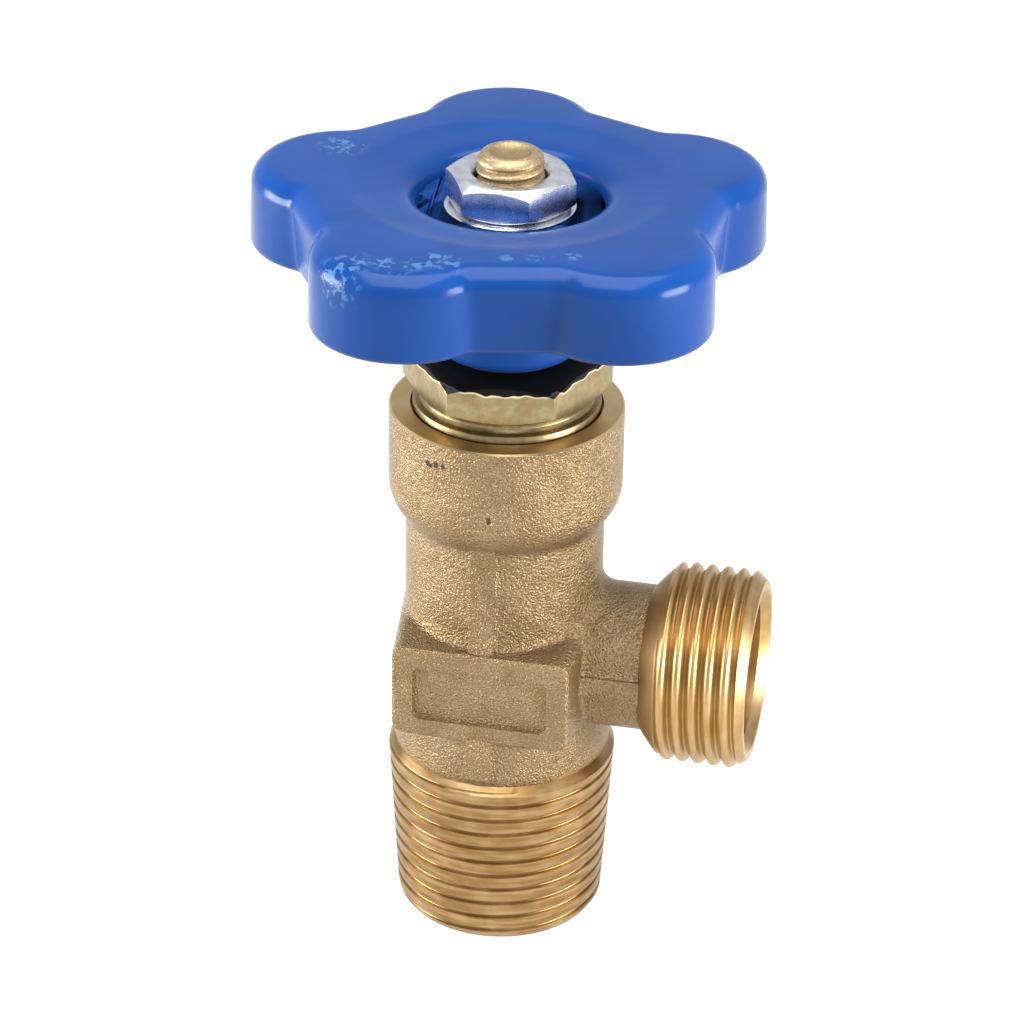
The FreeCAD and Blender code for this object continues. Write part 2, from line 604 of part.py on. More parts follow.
def build_gland_nut():
    body = new_body("gland_nut")
    hexagon(body, "gland_hexagon", "gland_across_flats", GLAND_HEX_BOTTOM, GLAND_TOP,
            "gland_turn", "gland_face_radius", True)
    narrow = GLAND_WAIST_RADIUS + " - waist_groove"
    profile = new_sketch(body, "gland_profile", "XZ_Plane")
    closed_outline(profile, [
        ("0", GLAND_BOTTOM),
        (GLAND_THREAD_RADIUS + " - thread_lead", GLAND_BOTTOM),
        (GLAND_THREAD_RADIUS, GLAND_BOTTOM + " + thread_lead"),
        (GLAND_THREAD_RADIUS, GLAND_FLANGE_BOTTOM),
        (GLAND_FLANGE_RADIUS, GLAND_FLANGE_BOTTOM),
        (GLAND_FLANGE_RADIUS, GLAND_FLANGE_TOP + " - gland_flange_edge"),
        (GLAND_FLANGE_RADIUS + " - gland_flange_edge", GLAND_FLANGE_TOP),
        (GLAND_WAIST_RADIUS, GLAND_FLANGE_TOP),
        (narrow, GLAND_FLANGE_TOP + " + waist_height / 2"),
        (narrow, GLAND_HEX_BOTTOM + " + gland_hex_height / 2"),
        ("0", GLAND_HEX_BOTTOM + " + gland_hex_height / 2"),
    ])
    turned(body, "gland_shank", profile)
    inner = new_sketch(body, "gland_inner_profile", "XZ_Plane")
    closed_outline(inner, [
        ("0", GLAND_BOTTOM),
        (GLAND_RECESS_RADIUS, GLAND_BOTTOM),
        (GLAND_RECESS_RADIUS, RECESS_TOP),
        (SHAFT_HOLE_RADIUS, RECESS_TOP),
        (SHAFT_HOLE_RADIUS, GLAND_TOP + " - gland_bore_edge"),
        (SHAFT_HOLE_RADIUS + " + gland_bore_edge", GLAND_TOP),
        ("0", GLAND_TOP),
    ])
    cut_round(body, "gland_bore", inner)


def build_stem():
    body = new_body("stem")
    profile = new_sketch(body, "stem_profile", "XZ_Plane")
    closed_outline(profile, [
        ("0", STEM_BOTTOM),
        (STEM_BOSS_RADIUS, STEM_BOTTOM),
        (STEM_BOSS_RADIUS, STEM_FLANGE_BOTTOM),
        (STEM_FLANGE_RADIUS, STEM_FLANGE_BOTTOM),
        (STEM_FLANGE_RADIUS, STEM_FLANGE_TOP),
        ("stem_radius", STEM_FLANGE_TOP),
        ("stem_radius", SQUARE_TOP),
        ("stem_thread_radius", SQUARE_TOP),
        ("stem_thread_radius", STEM_TOP + " - stem_end_round"),
        ("stem_end_radius", STEM_TOP, "stem_end_bend", 1),
        ("0", STEM_TOP + " - stem_dish_depth"),
    ])
    turned(body, "stem_shaft", profile)
    square = new_sketch(body, "stem_square_outline", "XY_Plane", height=SQUARE_TOP)
    circle(square, STEM_FLANGE_RADIUS)
    polygon_outline(square, 4, "(stem_square / 2)")
    sunk(body, "stem_square", square, "%s - %s" % (SQUARE_TOP, SQUARE_BOTTOM))
    slot = new_sketch(body, "stem_slot_outline", "XY_Plane", height=STEM_BOTTOM)
    rectangle(slot, "-" + STEM_FLANGE_RADIUS, STEM_FLANGE_RADIUS,
              "-%s / 2" % SLOT_WIDTH, "%s / 2" % SLOT_WIDTH)
    sunk(body, "stem_slot", slot, "plate_grip + slot_depth_gap", reverse=True)


def build_drive_plate():
    body = new_body("drive_plate")
    outline = new_sketch(body, "plate_outline", "XZ_Plane", height="-plate_thickness / 2")
    side = "(%s - plate_inset)" % STEM_BOSS_RADIUS
    closed_outline(outline, [
        ("-%s + plate_edge" % side, PLATE_BOTTOM),
        ("%s - plate_edge" % side, PLATE_BOTTOM),
        (side, PLATE_BOTTOM + " + plate_edge"),
        (side, PLATE_TOP + " - plate_edge"),
        ("%s - plate_edge" % side, PLATE_TOP),
        ("-%s + plate_edge" % side, PLATE_TOP),
        ("-" + side, PLATE_TOP + " - plate_edge"),
        ("-" + side, PLATE_BOTTOM + " + plate_edge"),
    ])
    raised(body, "plate", outline, "plate_thickness")


def build_plunger():
    body = new_body("plunger")
    profile = new_sketch(body, "plunger_profile", "XZ_Plane")
    closed_outline(profile, [
        ("0", INSERT_TOP),
        (INSERT_RADIUS, INSERT_TOP),
        (INSERT_RADIUS, NOSE_BOTTOM),
        ("plunger_nose_radius - nose_edge", NOSE_BOTTOM),
        ("plunger_nose_radius", NOSE_BOTTOM + " + nose_edge"),
        ("plunger_nose_radius", PLUNGER_SHOULDER),
        (PLUNGER_RADIUS + " - plunger_edge", PLUNGER_SHOULDER),
        (PLUNGER_RADIUS, PLUNGER_SHOULDER + " + plunger_edge"),
        (PLUNGER_RADIUS, PLUNGER_TOP + " - plunger_edge"),
        (PLUNGER_RADIUS + " - plunger_edge", PLUNGER_TOP),
        ("0", PLUNGER_TOP),
    ])
    turned(body, "plunger_turning", profile)
    slot = new_sketch(body, "plunger_slot_outline", "XY_Plane", height=PLUNGER_TOP)
    rectangle(slot, "-chamber_radius", "chamber_radius",
              "-%s / 2" % SLOT_WIDTH, "%s / 2" % SLOT_WIDTH)
    sunk(body, "plunger_slot", slot, "plate_engagement + plunger_lift + slot_depth_gap")


LOBES = 5
VALLEY_CENTRE = ("(lobe_centre * %.9f + sqrt((lobe_radius + valley_radius) ^ 2"
                 " - (lobe_centre * %.9f) ^ 2))" % (cos(pi / LOBES), sin(pi / LOBES)))


def lobed_outline(sketch, inset):
    """Lobes and hollows that run into each other, moved inwards by inset."""
    steps = []
    share = "(lobe_radius - %s) / (lobe_radius + valley_radius)" % inset
    for lobe in range(LOBES):
        angle = 2 * pi * lobe / LOBES
        for side, radius, bulge in ((-1, "valley_radius + %s" % inset, -1),
                                    (1, "lobe_radius - %s" % inset, 1)):
            valley = angle + side * pi / LOBES
            steps.append(tuple(
                "lobe_centre * %.9f * (1 - %s) + %s * %.9f * %s"
                % (turn(angle), share, VALLEY_CENTRE, turn(valley), share)
                for turn in (cos, sin)) + (radius, bulge))
    return closed_outline(sketch, steps)


def build_handwheel():
    body = new_body("handwheel")
    blank = new_sketch(body, "wheel_outline", "XY_Plane", height=WHEEL_BOTTOM, turn="wheel_turn")
    lobed_outline(blank, "0")
    raised(body, "wheel_blank", blank, "wheel_height")

    dish = new_sketch(body, "dish_profile", "XZ_Plane")
    closed_outline(dish, [
        ("dish_radius", WHEEL_TOP),
        (WELL_RADIUS, DISH_BOTTOM),
        ("0", DISH_BOTTOM),
        ("0", WHEEL_TOP),
    ])
    cut_round(body, "dish", dish)

    top, bottom, dish_rim = number(WHEEL_TOP), number(WHEEL_BOTTOM), number("dish_radius")
    rounded(body, "wheel_upper_edge", "wheel_edge",
            lambda spot: abs(spot.z - top) < TOUCH and hypot(spot.x, spot.y) > dish_rim + TOUCH)
    rounded(body, "wheel_skirt_edge", "wheel_lower_edge",
            lambda spot: abs(spot.z - bottom) < TOUCH)

    hollow = new_sketch(body, "hollow_outline", "XY_Plane", height=WHEEL_BOTTOM, turn="wheel_turn")
    lobed_outline(hollow, "skirt_thickness")
    circle(hollow, WELL_OUTER_RADIUS)
    sunk(body, "hollow", hollow, "wheel_height - cover_thickness", reverse=True)

    hub = new_sketch(body, "hub_profile", "XZ_Plane")
    closed_outline(hub, [
        ("0", HUB_BOTTOM),
        ("hub_radius - hub_edge", HUB_BOTTOM),
        ("hub_radius", HUB_BOTTOM + " + hub_edge", "hub_edge", 1),
        ("hub_radius", WELL_FLOOR + " - web_thickness"),
        (WELL_OUTER_RADIUS, WELL_FLOOR + " - web_thickness"),
        (WELL_OUTER_RADIUS, WELL_FLOOR),
        ("0", WELL_FLOOR),
    ])
    turned(body, "hub", hub)

    well = new_sketch(body, "well_outline", "XY_Plane", height=DISH_BOTTOM)
    circle(well, WELL_RADIUS)
    sunk(body, "well", well, "well_depth")
    mouth, halfway = number(WELL_RADIUS), number(WELL_FLOOR + " + well_depth / 2")
    rounded(body, "well_mouth", "well_edge",
            lambda spot: abs(hypot(spot.x, spot.y) - mouth) < TOUCH and spot.z > halfway)

    rib = new_sketch(body, "rib_outline", "XY_Plane", height=COVER_UNDERSIDE,
                     turn="wheel_turn + %.9f" % (180 / LOBES))
    rectangle(rib, WELL_RADIUS + " + well_wall / 2",
              "%s - valley_radius - skirt_thickness / 2" % VALLEY_CENTRE,
              "-wheel_rib_thickness / 2", "wheel_rib_thickness / 2")
    first_rib = raised(body, "first_rib", rib, "wheel_rib_drop", reverse=True)
    ribs = body.newObject("PartDesign::PolarPattern", "ribs")
    ribs.Originals = [first_rib]
    ribs.Axis = (origin_item(body, "Z_Axis"), [""])
    ribs.Angle = 360
    ribs.Occurrences = LOBES
    body.Tip = ribs
    document.recompute()

    socket = new_sketch(body, "socket_outline", "XY_Plane", height=WELL_FLOOR)
    polygon_outline(socket, 4, "(stem_square / 2 + sliding_gap)")
    sunk(body, "socket", socket, "hub_height")


def build_wheel_spring():
    body = new_body("wheel_spring")
    wire = new_sketch(body, "wire_outline", "XZ_Plane")
    circle(wire, "spring_wire_radius", SPRING_RADIUS, WELL_FLOOR + " + face_gap + spring_wire_radius")
    coil = feature(body, "AdditiveHelix", "coil", wire)
    coil.ReferenceAxis = (wire, ["V_Axis"])
    coil.Mode = HEIGHT_AND_TURNS
    bind(coil, "Height", "spring_space - 2 * face_gap - 2 * spring_wire_radius")
    bind(coil, "Turns", "spring_turns")
    settled(coil, 0, 1)


def build_spring_cap():
    body = new_body("spring_cap")
    profile = new_sketch(body, "cap_profile", "XZ_Plane")
    hole = "(stem_thread_radius + running_gap)"
    closed_outline(profile, [
        (hole, SQUARE_TOP),
        (CAP_FLAT_RADIUS, SQUARE_TOP),
        (CAP_RADIUS, SQUARE_TOP + " - cap_fall"),
        (CAP_RADIUS, CAP_TOP + " - cap_fall"),
        (CAP_FLAT_RADIUS, CAP_TOP),
        (hole, CAP_TOP),
    ])
    turned(body, "cap", profile)


def build_wheel_nut():
    body = new_body("wheel_nut")
    hexagon(body, "nut_hexagon", "nut_across_flats", CAP_TOP, NUT_TOP, "nut_turn",
            "nut_face_radius", False)
    bore = "(stem_thread_radius + thread_gap)"
    inner = new_sketch(body, "nut_bore_profile", "XZ_Plane")
    closed_outline(inner, [
        ("0", CAP_TOP),
        (bore, CAP_TOP),
        (bore, NUT_TOP + " - nut_sink"),
        (bore + " + nut_sink", NUT_TOP),
        ("0", NUT_TOP),
    ])
    cut_round(body, "nut_bore", inner)


def build_rings():
    ring("gland_gasket", GLAND_RECESS_RADIUS, GLAND_THREAD_RADIUS + " - gasket_gap",
         LEDGE, GLAND_BOTTOM)
    ring("stem_gasket", SHAFT_HOLE_RADIUS, GLAND_RECESS_RADIUS + " - gasket_gap",
         STEM_GASKET_BOTTOM, RECESS_TOP)
    ring("glide_washer", SHAFT_HOLE_RADIUS, "hub_radius - washer_inset",
         WASHER_BOTTOM, HUB_BOTTOM)
    ring("seat_insert", "0", INSERT_RADIUS, INSERT_BOTTOM, INSERT_TOP)


build_valve_body()
build_gland_nut()
build_stem()
build_drive_plate()
build_plunger()
build_handwheel()
build_wheel_spring()
build_spring_cap()
build_wheel_nut()
build_rings()
document.recompute()

for item in document.Objects:
    if "Invalid" in item.State or "Error" in item.State:
        raise RuntimeError("%s failed: %s" % (item.Label, item.State))
for body in bodies:
    shape = body.Shape
    if shape.isNull() or not shape.isValid() or not shape.Solids:
        raise RuntimeError("%s has no sound solid" % body.Label)

os.makedirs("parts", exist_ok=True)
for body in bodies:
    body.Shape.exportStep("parts/%s.step" % body.Label)
    print(body.Label, len(body.Shape.Solids), "solid", round(body.Shape.Volume, 1), "mm3")
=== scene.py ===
from math import atan2, cos, hypot, pi, radians, sin, sqrt, tan

import bpy
from mathutils import Matrix, Vector


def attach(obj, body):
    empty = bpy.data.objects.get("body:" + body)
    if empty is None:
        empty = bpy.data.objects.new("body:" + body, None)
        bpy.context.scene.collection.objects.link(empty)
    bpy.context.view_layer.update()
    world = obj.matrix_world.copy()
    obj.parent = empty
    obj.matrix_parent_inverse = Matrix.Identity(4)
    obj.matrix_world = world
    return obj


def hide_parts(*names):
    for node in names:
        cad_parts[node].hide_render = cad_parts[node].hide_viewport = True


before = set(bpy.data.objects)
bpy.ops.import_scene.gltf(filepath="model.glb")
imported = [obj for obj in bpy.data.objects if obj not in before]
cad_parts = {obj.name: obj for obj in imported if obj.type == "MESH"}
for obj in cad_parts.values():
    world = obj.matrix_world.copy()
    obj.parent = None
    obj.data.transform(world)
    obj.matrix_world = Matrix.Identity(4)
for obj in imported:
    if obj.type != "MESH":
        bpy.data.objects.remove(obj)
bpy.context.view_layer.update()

MM = 0.001
CIRCLE = 2 * pi

# Sizes of the valve in millimetres, as in the CAD model
OUTLET_HEIGHT = 33.8
OUTLET_END = 29.8
COLLAR_TOP = 64.6
COLLAR_RADIUS = 13.25
REBATE_RADIUS = 10.87
GLAND_BORE = 10.06
GLAND_FLANGE_BOTTOM = 63.75
GLAND_TOP = 71.4
HUB_BOTTOM = 71.85
WELL_FLOOR = 82.0
WHEEL_TOP = 91.2
CAP_SEAT = 87.8
NUT_TOP = 92.7
SHANK_END_RADIUS = 12.0
SHANK_TAPER = 0.06
OUTLET_CREST = 11.455
OUTLET_BORE = 8.6
STEM_TOP = 94.9

# Sizes measured in the photograph, in millimetres
SHANK_PITCH = 1.962
OUTLET_PITCH = 1.814
STEM_PITCH = 1.25
STEM_CREST = 3.74
DISH_RADIUS = 2.3
DISH_FLOOR = 94.2
FLARE_END = 19.8
FLARE_RADIUS = 8.7
GLAND_FLATS = 20.35
NUT_FLATS = 12.8
WELL_RADIUS = 10.35
CREASE_RADIUS = 18.0
BLACK_FROM = 70.42

# Camera: place in metres, lens in millimetres, angles in degrees
CAMERA_PLACE = (0.07853, -0.36945, 0.2539)
CAMERA_LENS = 132.62
CAMERA_HEADING = 11.885
CAMERA_DIP = 28.304
CAMERA_ROLL = 0.974


def place_camera():
    """The photograph's own view."""
    lens = bpy.data.cameras.new("photo_camera")
    lens.lens = CAMERA_LENS
    lens.sensor_width = 36.0
    lens.sensor_fit = "HORIZONTAL"
    lens.clip_start = 0.01
    lens.clip_end = 20.0
    camera = bpy.data.objects.new("photo_camera", lens)
    bpy.context.scene.collection.objects.link(camera)
    heading = Matrix.Rotation(radians(CAMERA_HEADING), 4, "Z")
    tilt = Matrix.Rotation(radians(90 - CAMERA_DIP), 4, "X")
    roll = Matrix.Rotation(radians(CAMERA_ROLL), 4, "Z")
    camera.matrix_world = Matrix.Translation(CAMERA_PLACE) @ heading @ tilt @ roll
    bpy.context.scene.camera = camera


# Materials

class Level:
    """A number or colour that varies over a surface. Sums and products add Math nodes."""

    def __init__(self, finish, socket):
        self.finish = finish
        self.socket = socket

    def maths(self, operation, *numbers):
        return self.finish.node("ShaderNodeMath", {"operation": operation},
                                dict(enumerate(numbers)))

    def __add__(self, other):
        return self.maths("ADD", self, other)

    __radd__ = __add__

    def __sub__(self, other):
        return self.maths("SUBTRACT", self, other)

    def __rsub__(self, other):
        return self.maths("SUBTRACT", other, self)

    def __mul__(self, other):
        return self.maths("MULTIPLY", self, other)

    __rmul__ = __mul__

    def __truediv__(self, other):
        return self.maths("DIVIDE", self, other)

    def rise(self, low, high):
        """0 below low, 1 above high, smooth between them."""
        return self.finish.node("ShaderNodeMapRange", {"interpolation_type": "SMOOTHSTEP"},
                                {"Value": self, "From Min": low, "From Max": high})

    def limit(self):
        """Kept between 0 and 1."""
        return self.maths("MAXIMUM", self.maths("MINIMUM", self, 1.0), 0.0)


class Finish:
    """One material with a single shader, and the nodes that vary it."""

    def __init__(self, name, **fixed):
        self.material = bpy.data.materials.new(name)
        self.material.use_nodes = True
        self.tree = self.material.node_tree
        self.shader = self.tree.nodes["Principled BSDF"]
        for socket, value in fixed.items():
            self.shader.inputs[socket.replace("_", " ")].default_value = value
        self.place = self.node("ShaderNodeTexCoord", {}, {}, "Object")
        split = self.tree.nodes.new("ShaderNodeSeparateXYZ")
        self.tree.links.new(self.place.socket, split.inputs[0])
        self.x, self.y, self.z = (Level(self, split.outputs[i]) for i in range(3))

    def node(self, kind, settings, sockets, output=0):
        """A node of a kind: its settings first, then the values or links of its sockets."""
        made = self.tree.nodes.new(kind)
        for name, value in settings.items():
            setattr(made, name, value)
        for name, value in sockets.items():
            if isinstance(value, Level):
                self.tree.links.new(value.socket, made.inputs[name])
            else:
                made.inputs[name].default_value = value
        return Level(self, made.outputs[output])

    def grain(self, size, detail=2.0, place=None, distortion=0.0):
        """Noise from 0 to 1 whose spots are about size millimetres across."""
        return self.node("ShaderNodeTexNoise", {},
                         {"Vector": place or self.place, "Scale": 1.0 / (size * MM),
                          "Detail": detail, "Distortion": distortion})

    def cells(self, size, place):
        """Distance from the middle of cells that are about size millimetres across."""
        return self.node("ShaderNodeTexVoronoi", {},
                         {"Vector": place, "Scale": 1.0 / (size * MM)}, "Distance")

    def stretched(self, x, y, z, turn=0.0):
        """Places for a texture, drawn out along each axis whose share is below 1."""
        return self.node("ShaderNodeMapping", {},
                         {"Vector": self.place, "Rotation": (0.0, 0.0, turn), "Scale": (x, y, z)})

    def spread(self, across, up):
        """Square of the distance from an axis, in square millimetres."""
        return (across * across + up * up) / MM ** 2

    def mixed(self, amount, first, second):
        """From the first colour to the second one."""
        def colour(value):
            return value if isinstance(value, Level) else (*value, 1.0)
        return self.node("ShaderNodeMix", {"data_type": "RGBA"},
                         {"Factor": amount, 6: colour(first), 7: colour(second)}, 2)

    def bump(self, height, depth):
        """Relief of a depth in millimetres."""
        return self.node("ShaderNodeBump", {},
                         {"Strength": 1.0, "Distance": depth * MM, "Height": height})

    def near(self, place, size):
        """1 at a place in millimetres, falling to 0 at half the size from it."""
        away = self.node("ShaderNodeVectorMath", {"operation": "DISTANCE"},
                         {0: self.place, 1: Vector(place) * MM}, "Value")
        return away.rise(size / 2 * MM, size / 6 * MM)

    def apply(self, **varied):
        """Links what varies to the shader and hands over the material."""
        for name, value in varied.items():
            self.tree.links.new(value.socket, self.shader.inputs[name.replace("_", " ")])
        return self.material


# Small marks in the forging: place and size
CASTING_PITS = [((-6.3, -11.65, 61.88), 0.8), ((-5.9, -11.85, 61.7), 0.6),
                ((-5.28, -12.15, 62.01), 0.9), ((-4.41, -12.49, 62.0), 0.7),
                ((0.87, -13.22, 56.51), 0.7), ((0.95, -13.2, 56.15), 0.8)]


def forged_brass():
    """Shot-blasted forging with a few pits; its grain colour is partly painted sparkle, with
    painted shade and painted glints standing in for the lit bumps.
    """
    finish = Finish("forged_brass", Metallic=0.85)
    blasted = finish.grain(0.25, 1.0)
    fine = finish.grain(0.15, 1.0)
    cloudy = finish.grain(4.0, 3.0)
    pits = sum(finish.near(*pit) for pit in CASTING_PITS) * fine.rise(0.3, 0.5)
    tan_brass = finish.mixed(cloudy.rise(0.35, 0.65), (0.302, 0.2, 0.096), (0.365, 0.257, 0.135))
    # Grain tone, partly painted sparkle: darker and paler grain stands in for the shade and light
    # on the blasted bumps
    grain_and_painted_sparkle = finish.mixed(blasted.rise(0.28, 0.58), (0.225, 0.148, 0.07), tan_brass)
    # Painted glints: pale specks stand in for highlights on the grain
    with_painted_glints = finish.mixed(fine.rise(0.54, 0.7) * 0.3, grain_and_painted_sparkle, (0.7, 0.55, 0.37))
    colour = finish.mixed(pits.limit(), with_painted_glints, (0.07, 0.042, 0.02))
    rough = 0.3 + 0.14 * blasted
    relief = finish.bump(blasted + fine * 0.3 - pits * 1.5, 0.24)
    return finish.apply(Base_Color=colour, Roughness=rough, Normal=relief)


def machined_brass(name, base, pale, outlet=False):
    """Turned brass with fine tool lines round the valve's axis or the outlet's."""
    finish = Finish(name, Metallic=1.0)

    def round_axis(share):
        return finish.stretched(*((1.0, share, share) if outlet else (share, share, 1.0)))

    lines = finish.grain(0.05, 3.0, round_axis(0.02))
    streaks = finish.grain(0.6, 2.0, round_axis(0.12))
    stains = finish.grain(2.2, 3.0)
    paler = streaks.rise(0.35, 0.7) * 0.55 + stains.rise(0.4, 0.75) * 0.3
    colour = finish.mixed(paler, base, pale)
    rough = 0.24 + 0.14 * lines + 0.1 * stains
    if outlet:
        spread = finish.spread(finish.y, finish.z - OUTLET_HEIGHT * MM)
        flare = (finish.x.rise(FLARE_END * MM, (FLARE_END - 0.5) * MM)
                 * spread.rise(FLARE_RADIUS ** 2 - 2, FLARE_RADIUS ** 2))
        colour = finish.mixed(flare, colour, (0.38, 0.25, 0.118))
        rough = rough + 0.2 * flare
    relief = finish.bump(lines + streaks * 0.5, 0.006)
    return finish.apply(Base_Color=colour, Roughness=rough, Normal=relief)


def gland_brass():
    """Turned brass, blackened on top down to a ragged edge, which is worn and painted with a
    bright highlight.
    """
    finish = Finish("gland_brass", Specular_IOR_Level=0.15)
    mottle = finish.grain(0.8, 4.0)
    stains = finish.grain(3.5, 3.0)
    ragged = finish.grain(2.2, 1.0)
    height = finish.z / MM + (ragged - 0.5) * 1.5 + (mottle - 0.5) * 0.15
    black = height.rise(BLACK_FROM, BLACK_FROM + 0.08)
    # The ragged edge is worn brass with a painted highlight along it
    worn_edge_and_glint = height.rise(BLACK_FROM - 0.2, BLACK_FROM - 0.06) - black
    brass = finish.mixed(mottle.rise(0.35, 0.7), (0.31, 0.24, 0.12), (0.39, 0.31, 0.165))
    stained = finish.mixed(stains.rise(0.5, 0.66) * 0.45, brass, (0.28, 0.18, 0.085))
    # Painted highlight: the worn edge is coloured far paler than the brass round it
    with_painted_glints = finish.mixed(worn_edge_and_glint.limit() * 0.8, stained, (0.9, 0.78, 0.5))
    colour = finish.mixed(black, with_painted_glints, (0.008, 0.007, 0.006))
    rough = 0.26 + 0.12 * mottle + 0.3 * black
    relief = finish.bump(mottle + ragged * 0.6, 0.008)
    return finish.apply(Base_Color=colour, Metallic=1.0 - black, Roughness=rough, Normal=relief)


# Worn places on the edge of the handwheel: place and size
ENAMEL_CHIPS = [((-12.3, -25.5, 89.6), 8.1), ((-11.2, -23.5, 90.8), 4.1),
                ((-8.7, -23.3, 91.0), 3.5), ((-7.7, -24.5, 90.4), 4.1),
                ((-6.4, -24.8, 90.0), 4.9), ((-5.8, -24.3, 88.8), 4.6),
                ((-4.6, -23.2, 90.6), 4.3), ((-3.5, -21.2, 91.0), 3.2),
                ((-1.9, -22.2, 90.6), 4.9), ((3.9, -19.5, 90.6), 2.7), ((7.2, -18.6, 90.6), 4.1),
                ((10.5, -17.5, 90.8), 2.7), ((-20.3, 5.4, 91.2), 6.8), ((-6.7, -22.9, 86.0), 3.2),
                ((4.8, -17.7, 86.0), 3.2)]


def blue_enamel():
    """Glossy enamel with chips, scratches and a duller well."""
    finish = Finish("blue_enamel", Metallic=0.0, Specular_IOR_Level=0.25)
    orange_peel = finish.grain(1.6, 2.0)
    cloudy = finish.grain(14.0, 2.0)
    blue = finish.mixed(cloudy.rise(0.3, 0.7), (0.004, 0.061, 0.3), (0.006, 0.078, 0.36))
    chips = (sum(finish.near(*chip) for chip in ENAMEL_CHIPS)
             * finish.grain(1.0, 3.0, distortion=0.4).rise(0.5, 0.6))
    lines = finish.cells(5.0, finish.stretched(1.0, 0.05, 0.3, 0.9)).rise(0.03, 0.012)
    scratches = lines * finish.grain(5.0).rise(0.55, 0.62)
    worn = finish.mixed(scratches * 0.5, blue, (0.25, 0.42, 0.75))
    colour = finish.mixed(chips.limit() * 0.6, worn, (0.12, 0.33, 0.62))
    inside = finish.spread(finish.x, finish.y).rise((WELL_RADIUS + 0.85) ** 2,
                                                    (WELL_RADIUS + 0.25) ** 2)
    well = inside * finish.z.rise((WHEEL_TOP - 1.6) * MM, (WHEEL_TOP - 2.4) * MM)
    rough = 0.16 + 0.08 * orange_peel + 0.2 * chips.limit() + 0.35 * well
    relief = finish.bump(orange_peel - chips * 0.4, 0.03)
    return finish.apply(Base_Color=colour, Roughness=rough, Normal=relief)


def zinc_plate():
    """Bright zinc plate with faint marks."""
    finish = Finish("zinc_plate", Metallic=1.0)
    spots = finish.grain(0.35, 3.0)
    marks = finish.grain(1.6, 3.0, distortion=0.6)
    colour = finish.mixed(marks.rise(0.4, 0.7), (0.82, 0.83, 0.86), (0.62, 0.64, 0.68))
    rough = 0.22 + 0.1 * spots
    relief = finish.bump(spots + marks, 0.003)
    return finish.apply(Base_Color=colour, Roughness=rough, Normal=relief)


def stem_brass():
    """Dull brass, duller still in the dished end."""
    finish = Finish("stem_brass", Metallic=1.0)
    spots = finish.grain(0.3, 3.0)
    colour = finish.mixed(spots.rise(0.4, 0.7), (0.42, 0.31, 0.165), (0.6, 0.48, 0.3))
    inside = finish.spread(finish.x, finish.y).rise(DISH_RADIUS ** 2, (DISH_RADIUS - 0.2) ** 2)
    dish = inside * finish.z.rise((DISH_FLOOR - 0.2) * MM, DISH_FLOOR * MM)
    dished = finish.mixed(dish * 0.6, colour, (0.27, 0.195, 0.1))
    rough = 0.4 + 0.2 * spots + 0.1 * dish
    relief = finish.bump(spots, 0.04)
    return finish.apply(Base_Color=dished, Roughness=rough, Normal=relief)


def plain_finish(name, colour, other, rough, metallic=0.0, size=0.4):
    """Moulded, pressed or drawn stock of two close shades."""
    finish = Finish(name, Metallic=metallic)
    grain = finish.grain(size, 3.0)
    return finish.apply(Base_Color=finish.mixed(grain.rise(0.35, 0.65), colour, other),
                        Roughness=rough + 0.12 * grain, Normal=finish.bump(grain, 0.01))


# Floor and light

FLOOR_RADIUS = 4.0
FLOOR_HEIGHT = -0.0002
FLOOR_SHADE = 0.36
FLOOR_GLOW = 0.86
SKY_LIGHT = 0.06
SKY_MIRRORED = 0.68


def lay_floor():
    """White to the eye and in reflections, but not bright enough to light the valve."""
    bpy.ops.object.select_all(action="DESELECT")
    bpy.ops.mesh.primitive_circle_add(vertices=96, radius=FLOOR_RADIUS, fill_type="NGON",
                                      location=(0.0, 0.0, FLOOR_HEIGHT))
    floor = bpy.context.object
    floor.name = "studio_floor"
    paper = Finish("white_paper", Roughness=0.9)
    paper.shader.inputs["Base Color"].default_value = (FLOOR_SHADE, FLOOR_SHADE, FLOOR_SHADE, 1.0)
    paper.shader.inputs["Emission Color"].default_value = (1.0, 1.0, 1.0, 1.0)
    rays = [paper.node("ShaderNodeLightPath", {}, {}, ray)
            for ray in ("Is Camera Ray", "Is Glossy Ray", "Is Transmission Ray")]
    paper.apply(Emission_Strength=sum(rays).limit() * FLOOR_GLOW)
    floor.data.materials.append(paper.material)


def hang_sky():
    """White to the eye, paler in reflections, dim as a light."""
    world = bpy.data.worlds.new("studio")
    bpy.context.scene.world = world
    world.use_nodes = True
    sky = world.node_tree
    background = sky.nodes["Background"]
    background.inputs["Color"].default_value = (0.93, 0.95, 1.0, 1.0)
    path = sky.nodes.new("ShaderNodeLightPath")
    strength = sky.nodes.new("ShaderNodeMapRange")
    strength.inputs["To Min"].default_value = SKY_LIGHT
    strength.inputs["To Max"].default_value = SKY_MIRRORED
    sky.links.new(path.outputs["Is Glossy Ray"], strength.inputs["Value"])
    white = sky.nodes.new("ShaderNodeMath")
    white.operation = "MAXIMUM"
    sky.links.new(path.outputs["Is Camera Ray"], white.inputs[0])
    sky.links.new(strength.outputs["Result"], white.inputs[1])
    sky.links.new(white.outputs[0], background.inputs["Strength"])


def softbox(name, place, aim, width, height, power):
    """A rectangular lamp in metres and watts, turned to what it lights."""
    lamp = bpy.data.lights.new(name, "AREA")
    lamp.shape = "RECTANGLE"
    lamp.size = width
    lamp.size_y = height
    lamp.energy = power
    lamp_object = bpy.data.objects.new(name, lamp)
    bpy.context.scene.collection.objects.link(lamp_object)
    lamp_object.location = place
    direction = Vector(aim) - Vector(place)
    lamp_object.rotation_euler = direction.to_track_quat("-Z", "Y").to_euler()


